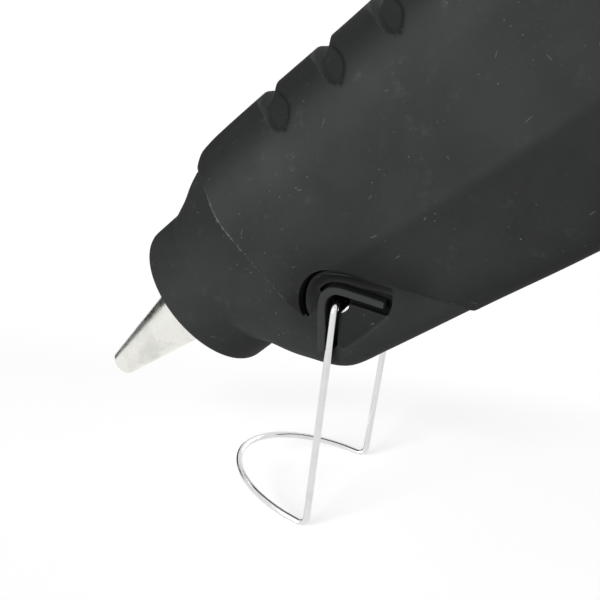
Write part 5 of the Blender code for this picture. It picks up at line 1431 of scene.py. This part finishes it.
TRIGGER_SIDE = ((-15.0, -6.9), (-12.75, -15.8), (-12.1, -24.8), (-13.4, -35.1), (-17.0, -42.8),
                (-14.6, -45.0), (-6.0, -45.0), (0.0, -41.4), (4.4, -27.9), (5.7, -13.5),
                (4.4, 0.0), (2.6, 4.4), (-4.4, 4.4), (-11.3, -2.1))


TRIGGER_HALF, TRIGGER_EDGE, TRIGGER_CORNER = 7.5 * MM, 1.3 * MM, 3.2 * MM
TRIGGER_ARM = ((-3.6, -2), (-3.0, 19), (-2.1, 21.1), (0, 22), (2.1, 21.1), (3.0, 19), (3.6, -2))
TRIGGER_POCKET = ((-12.8, -8), (-10.8, -36), (-11, -42.8), (30, -42.8), (30, 40), (-12.8, 40))
POCKET_HALF = 5.3 * MM
# The trigger's two holes: (name, millimetres above its pivot, radius in millimetres)
TRIGGER_HOLES = (("pivot_hole", 0, 2.3), ("drive_hole", 19, 1.8))


def pillow(name, outline, half_width, edge, place):
    """A side view outline made thick, its rims rounded.

    At width y the outline is drawn in by edge (1 - sqrt(1 - t t)), with t how far y is
    into the last edge of the half width, along the outline's own inward normals.
    """
    outline = np.asarray(outline, float)
    run = unit(np.roll(outline, -1, 0) - np.roll(outline, 1, 0))
    inward = np.stack([-run[:, 1], run[:, 0]], -1)
    area = np.cross(outline, np.roll(outline, -1, 0)).sum()
    inward *= 1 if area > 0 else -1
    angle = np.linspace(0, np.pi / 2, 8)
    in_by = edge * (1 - np.cos(angle[::-1]))
    widths = half_width - edge + edge * np.sin(angle[::-1])
    y = np.concatenate([widths, -widths[::-1]])
    drawn = np.concatenate([in_by, in_by[::-1]])
    side = outline[None] + inward[None] * drawn[:, None, None]
    grid = np.stack([side[..., 0], 0 * side[..., 0] + y[:, None], side[..., 1]], -1)
    return grid_object(name, grid + np.array(place))


# The sliver that stands for the highlight on each hole's rim: its place from the wire's pivot and
# its ends in degrees, its reach and its thickness
GLINT_PLACE, GLINT_ENDS = (0.55, 0.2), (-122, -58)
GLINT_REACH, GLINT_THICK = 2.0 * MM, 0.27 * MM


class GLUEGUN_OT_rim_glint(bpy.types.Operator):
    """Sets two bright plated slivers on the lower rims of the wire's holes, a highlight painted on
    each rim as a piece of its own
    """

    bl_idname = "glue_gun.lining"
    bl_label = "Hole Glints"

    def execute(self, context):
        at, up = around_pivot((GLINT_PLACE,))[0]
        angle = np.radians(np.linspace(*GLINT_ENDS, 26))
        lean = (angle + math.pi / 2)[:, None]
        around = np.linspace(0, 2 * np.pi, 12, endpoint=False)
        thick = GLINT_THICK * np.sqrt(np.clip(1 - (lean / math.radians(33)) ** 2, 0.02, 1))
        reach = GLINT_REACH + thick * np.cos(around) + 0.3 * MM * lean**2
        for name, side in (("left", -1), ("right", 1)):
            grid = np.stack(
                [
                    at + reach * np.cos(angle)[:, None],
                    side * (FLANK + 0.02 * MM + thick * np.sin(around)),
                    up + reach * np.sin(angle)[:, None],
                ],
                -1,
            )
            obj = grid_object(f"{name}_hole_rim_glint", grid)
            finished(obj, wire_material(), "housing", [], 50)
        return {"FINISHED"}


class GLUEGUN_OT_trigger(bpy.types.Operator):
    """Moulds the trigger's finger lever and its two arms"""

    bl_idname = "glue_gun.trigger"
    bl_label = "Trigger"

    def execute(self, context):
        pull = joint_place("trigger_pull")
        side = pull[[0, 2]]
        outline = rounded_profile(np.array(TRIGGER_SIDE) * MM, TRIGGER_CORNER, 7)
        obj = pillow("trigger_skin", outline, TRIGGER_HALF, TRIGGER_EDGE, pull)
        arms = slab("arms", np.array(TRIGGER_ARM) * MM + side, TRIGGER_HALF)
        pocket = slab("pocket", np.array(TRIGGER_POCKET) * MM + side, POCKET_HALF)
        pins = []
        for name, up, radius in TRIGGER_HOLES:
            start, end = (pull + (0, y * MM, up * MM) for y in (-20, 20))
            pins.append(plug(name, start, end, radius * MM, 40))
        carve(obj, [("UNION", [arms]), ("DIFFERENCE", [pocket] + pins)])
        drop([arms, pocket] + pins)
        finished(obj, trigger_material(), "trigger", ["trigger"], 28)
        return {"FINISHED"}


class GLUEGUN_OT_inner(bpy.types.Operator):
    """Finishes the CAD nodes that show as they are: screws, pins and the works inside"""

    bl_idname = "glue_gun.inner"
    bl_label = "Inner Works"

    def execute(self, context):
        looks = {
            "melt_chamber": nozzle_material(), "inlet_sleeve": rubber_material(),
            "heater_plate": ceramic_material(), "terminal_block": ceramic_material(),
            "feed_carriage": trigger_material(),
        }
        hidden = ("left_shell", "right_shell", "nozzle", "nozzle_boot", "stick_guide",
                  "lead_bush", "wire_stand", "trigger")
        for name, obj in frame["nodes"].items():
            if name in hidden:
                continue
            look = looks.get(name, wire_material())
            for slot in obj.material_slots:
                slot.material = look
        return {"FINISHED"}


# The studio, in world metres: the floor's half width and its two levels, the lamps, as (name,
# place, width), and the point that they face, the card's ends and height
FLOOR_HALF, FLOOR_LEVELS = 4, (-0.01, -0.0001)
LAMPS = (("key", (-0.34, -1.10, 0.40), 0.6), ("fill", (0.55, 1.0, 0.35), 0.8))
LIT_POINT = (-0.03, 0, 0.05)
CARD_ENDS, CARD_HEIGHT = ((-0.95, -0.04), (-0.56, 0.70)), 0.45
# The camera from the rim's centre, its turn in degrees and its lens, solved from the photograph
CAMERA_PLACE, CAMERA_TURN = (0.094209, -0.175804, 0.050290), (75.4, 0, 22.4)
LENS, SENSOR, NEAREST = 56.16, 36, 0.01
# The floor's own glow, what the camera's rays see added, and where it fades to plain white, as
# distances from the middle and to the back, in metres
FLOOR_GLOW, ADDED_GLOW = 0.35, 0.30
FADE_AWAY, FADE_BACK = (0.22, 0.60), (0.040, 0.085)


def lay_floor():
    """A wide thin slab under the gun."""
    corners = [(x * FLOOR_HALF, y * FLOOR_HALF) for x, y in ((-1, -1), (1, -1), (1, 1), (-1, 1))]
    levels = np.array([[(x, y, z) for x, y in corners] for z in FLOOR_LEVELS])
    floor = grid_object("floor", levels, world=False)
    floor.data.materials.append(floor_material())


def light_room(scene, strength):
    """An even dim light all round, which the camera and mirrors see as white."""
    world = bpy.data.worlds.new("Room")
    scene.world = world
    world.use_nodes = True
    n = Nodes(world.node_tree)
    room = world.node_tree.nodes["Background"]
    room.inputs["Color"].default_value = (1, 1, 1, 1)
    room.inputs["Strength"].default_value = strength
    seen = n.add("ShaderNodeBackground", {"Color": (1, 1, 1, 1), "Strength": 1.0})
    mixed = n.add("ShaderNodeMixShader", {0: seen_rays(n), 1: room.outputs[0], 2: seen.outputs[0]})
    out = world.node_tree.nodes["World Output"]
    world.node_tree.links.new(mixed.outputs[0], out.inputs["Surface"])


def hang_lamp(scene, name, place, width, power):
    """A square lamp that faces the gun's front."""
    light = bpy.data.lights.new(name, "AREA")
    light.energy, light.size = power, width
    lamp = bpy.data.objects.new(name, light)
    scene.collection.objects.link(lamp)
    lamp.location = place
    facing = Vector(LIT_POINT) - Vector(place)
    lamp.rotation_euler = facing.to_track_quat("-Z", "Y").to_euler()


def stand_card():
    """A black card beside the nozzle, which only reflections see."""
    low, high = ([(x, y, z) for x, y in CARD_ENDS] for z in (0.0, CARD_HEIGHT))
    card = mesh_object("card", np.array(low + high[::-1]), [[0, 1, 2, 3]])
    card.data.materials.append(card_material())
    card.visible_camera = False


def place_camera(scene):
    """The camera that sees the gun as the photograph does."""
    data = bpy.data.cameras.new("camera")
    data.sensor_width, data.lens, data.clip_start = SENSOR, LENS, NEAREST
    camera = bpy.data.objects.new("camera", data)
    scene.collection.objects.link(camera)
    camera.location = Vector(CAMERA_PLACE) + Vector(gun_origin())
    camera.rotation_euler = [math.radians(turn) for turn in CAMERA_TURN]
    scene.camera = camera


class GLUEGUN_OT_stage(bpy.types.Operator):
    """Sets the floor, the room light, the lamps, the card and the camera"""

    bl_idname = "glue_gun.stage"
    bl_label = "Studio"

    def execute(self, context):
        scene = context.scene
        studio = scene.glue_gun_studio
        lay_floor()
        light_room(scene, studio.sky)
        for (name, place, width), power in zip(LAMPS, (studio.key, studio.fill)):
            hang_lamp(scene, name, place, width, power)
        stand_card()
        place_camera(scene)
        scene.view_settings.view_transform = "Standard"
        return {"FINISHED"}


def seen_rays(n):
    """1 for the camera's rays and for those that metal mirrors or glass lets through."""
    path = n.add("ShaderNodeLightPath")
    rays = n.math("MAXIMUM", path.outputs["Is Camera Ray"], path.outputs["Is Glossy Ray"])
    return n.math("MAXIMUM", rays, path.outputs["Is Transmission Ray"])


def card_material():
    """The matt black of a card that metal mirrors as a dark edge."""
    made, _, shader = new_material("Black Card")
    shader.inputs["Base Color"].default_value = (0.01, 0.01, 0.01, 1.0)
    shader.inputs["Roughness"].default_value = 1.0
    shader.inputs["Specular IOR Level"].default_value = 0.0
    return made


def floor_material():
    """A pale floor that the camera sees as white, less the shadow that falls on it, and
    that fades to plain white with the distance from the middle."""
    made, n, shader = new_material("Floor")
    shader.inputs["Base Color"].default_value = (*colours().floor, 1.0)
    shader.inputs["Roughness"].default_value = 0.9
    shader.inputs["Specular IOR Level"].default_value = 0.1
    shader.inputs["Emission Color"].default_value = (1.0, 1.0, 1.0, 1.0)
    shader.inputs["Emission Strength"].default_value = FLOOR_GLOW
    glow = n.add("ShaderNodeEmission", {"Color": (1, 1, 1, 1), "Strength": ADDED_GLOW})
    near = n.add("ShaderNodeAddShader", {0: shader.outputs[0], 1: glow.outputs[0]})
    plain = n.add("ShaderNodeEmission", {"Color": (1, 1, 1, 1), "Strength": 1.0})
    place = n.add("ShaderNodeTexCoord").outputs["Object"]
    away = n.add("ShaderNodeVectorMath", {0: place}, operation="LENGTH").outputs["Value"]
    back = n.add("ShaderNodeSeparateXYZ", {0: place}).outputs["Y"]
    faded = n.math("MAXIMUM", n.ramp(away, *FADE_AWAY), n.ramp(back, *FADE_BACK))
    seen = n.add("ShaderNodeMixShader", {0: faded, 1: near.outputs[0], 2: plain.outputs[0]})
    out = made.node_tree.nodes["Material Output"]
    shaders = {0: seen_rays(n), 1: shader.outputs[0], 2: seen.outputs[0]}
    mixed = n.add("ShaderNodeMixShader", shaders)
    made.node_tree.links.new(mixed.outputs[0], out.inputs["Surface"])
    return made


STEPS = ("case", "nozzle", "silicone", "guide", "bush", "stand", "lining", "trigger", "inner",
         "stage")


class GLUEGUN_PT_panel(bpy.types.Panel):
    """Lists the gun's pieces and sizes in the sidebar"""

    bl_idname = "GLUEGUN_PT_panel"
    bl_label = "Hot Glue Applicator"
    bl_space_type = "VIEW_3D"
    bl_region_type = "UI"
    bl_category = "Glue Gun"

    def draw(self, context):
        for group in ("glue_gun_sizes", "glue_gun_colours", "glue_gun_studio"):
            box = self.layout.box()
            settings = getattr(context.scene, group)
            for name in settings.__annotations__:
                box.prop(settings, name)
        for step in STEPS:
            self.layout.operator(f"glue_gun.{step}")


CLASSES = (
    GunSizes, GunColours, StudioSettings, GLUEGUN_OT_case, GLUEGUN_OT_nozzle,
    GLUEGUN_OT_silicone, GLUEGUN_OT_guide, GLUEGUN_OT_bush, GLUEGUN_OT_stand,
    GLUEGUN_OT_rim_glint, GLUEGUN_OT_trigger, GLUEGUN_OT_inner, GLUEGUN_OT_stage, GLUEGUN_PT_panel,
)


def register():
    """Adds the classes and the scene's settings."""
    for cls in CLASSES:
        bpy.utils.register_class(cls)
    bpy.types.Scene.glue_gun_sizes = bpy.props.PointerProperty(type=GunSizes)
    bpy.types.Scene.glue_gun_colours = bpy.props.PointerProperty(type=GunColours)
    bpy.types.Scene.glue_gun_studio = bpy.props.PointerProperty(type=StudioSettings)


def unregister():
    """Removes the scene's settings and the classes."""
    del bpy.types.Scene.glue_gun_sizes
    del bpy.types.Scene.glue_gun_colours
    del bpy.types.Scene.glue_gun_studio
    for cls in reversed(CLASSES):
        bpy.utils.unregister_class(cls)


def main():
    """Makes every piece."""
    register()
    for step in STEPS:
        getattr(bpy.ops.glue_gun, step)()
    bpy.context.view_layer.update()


if __name__ == "__main__":
    main()
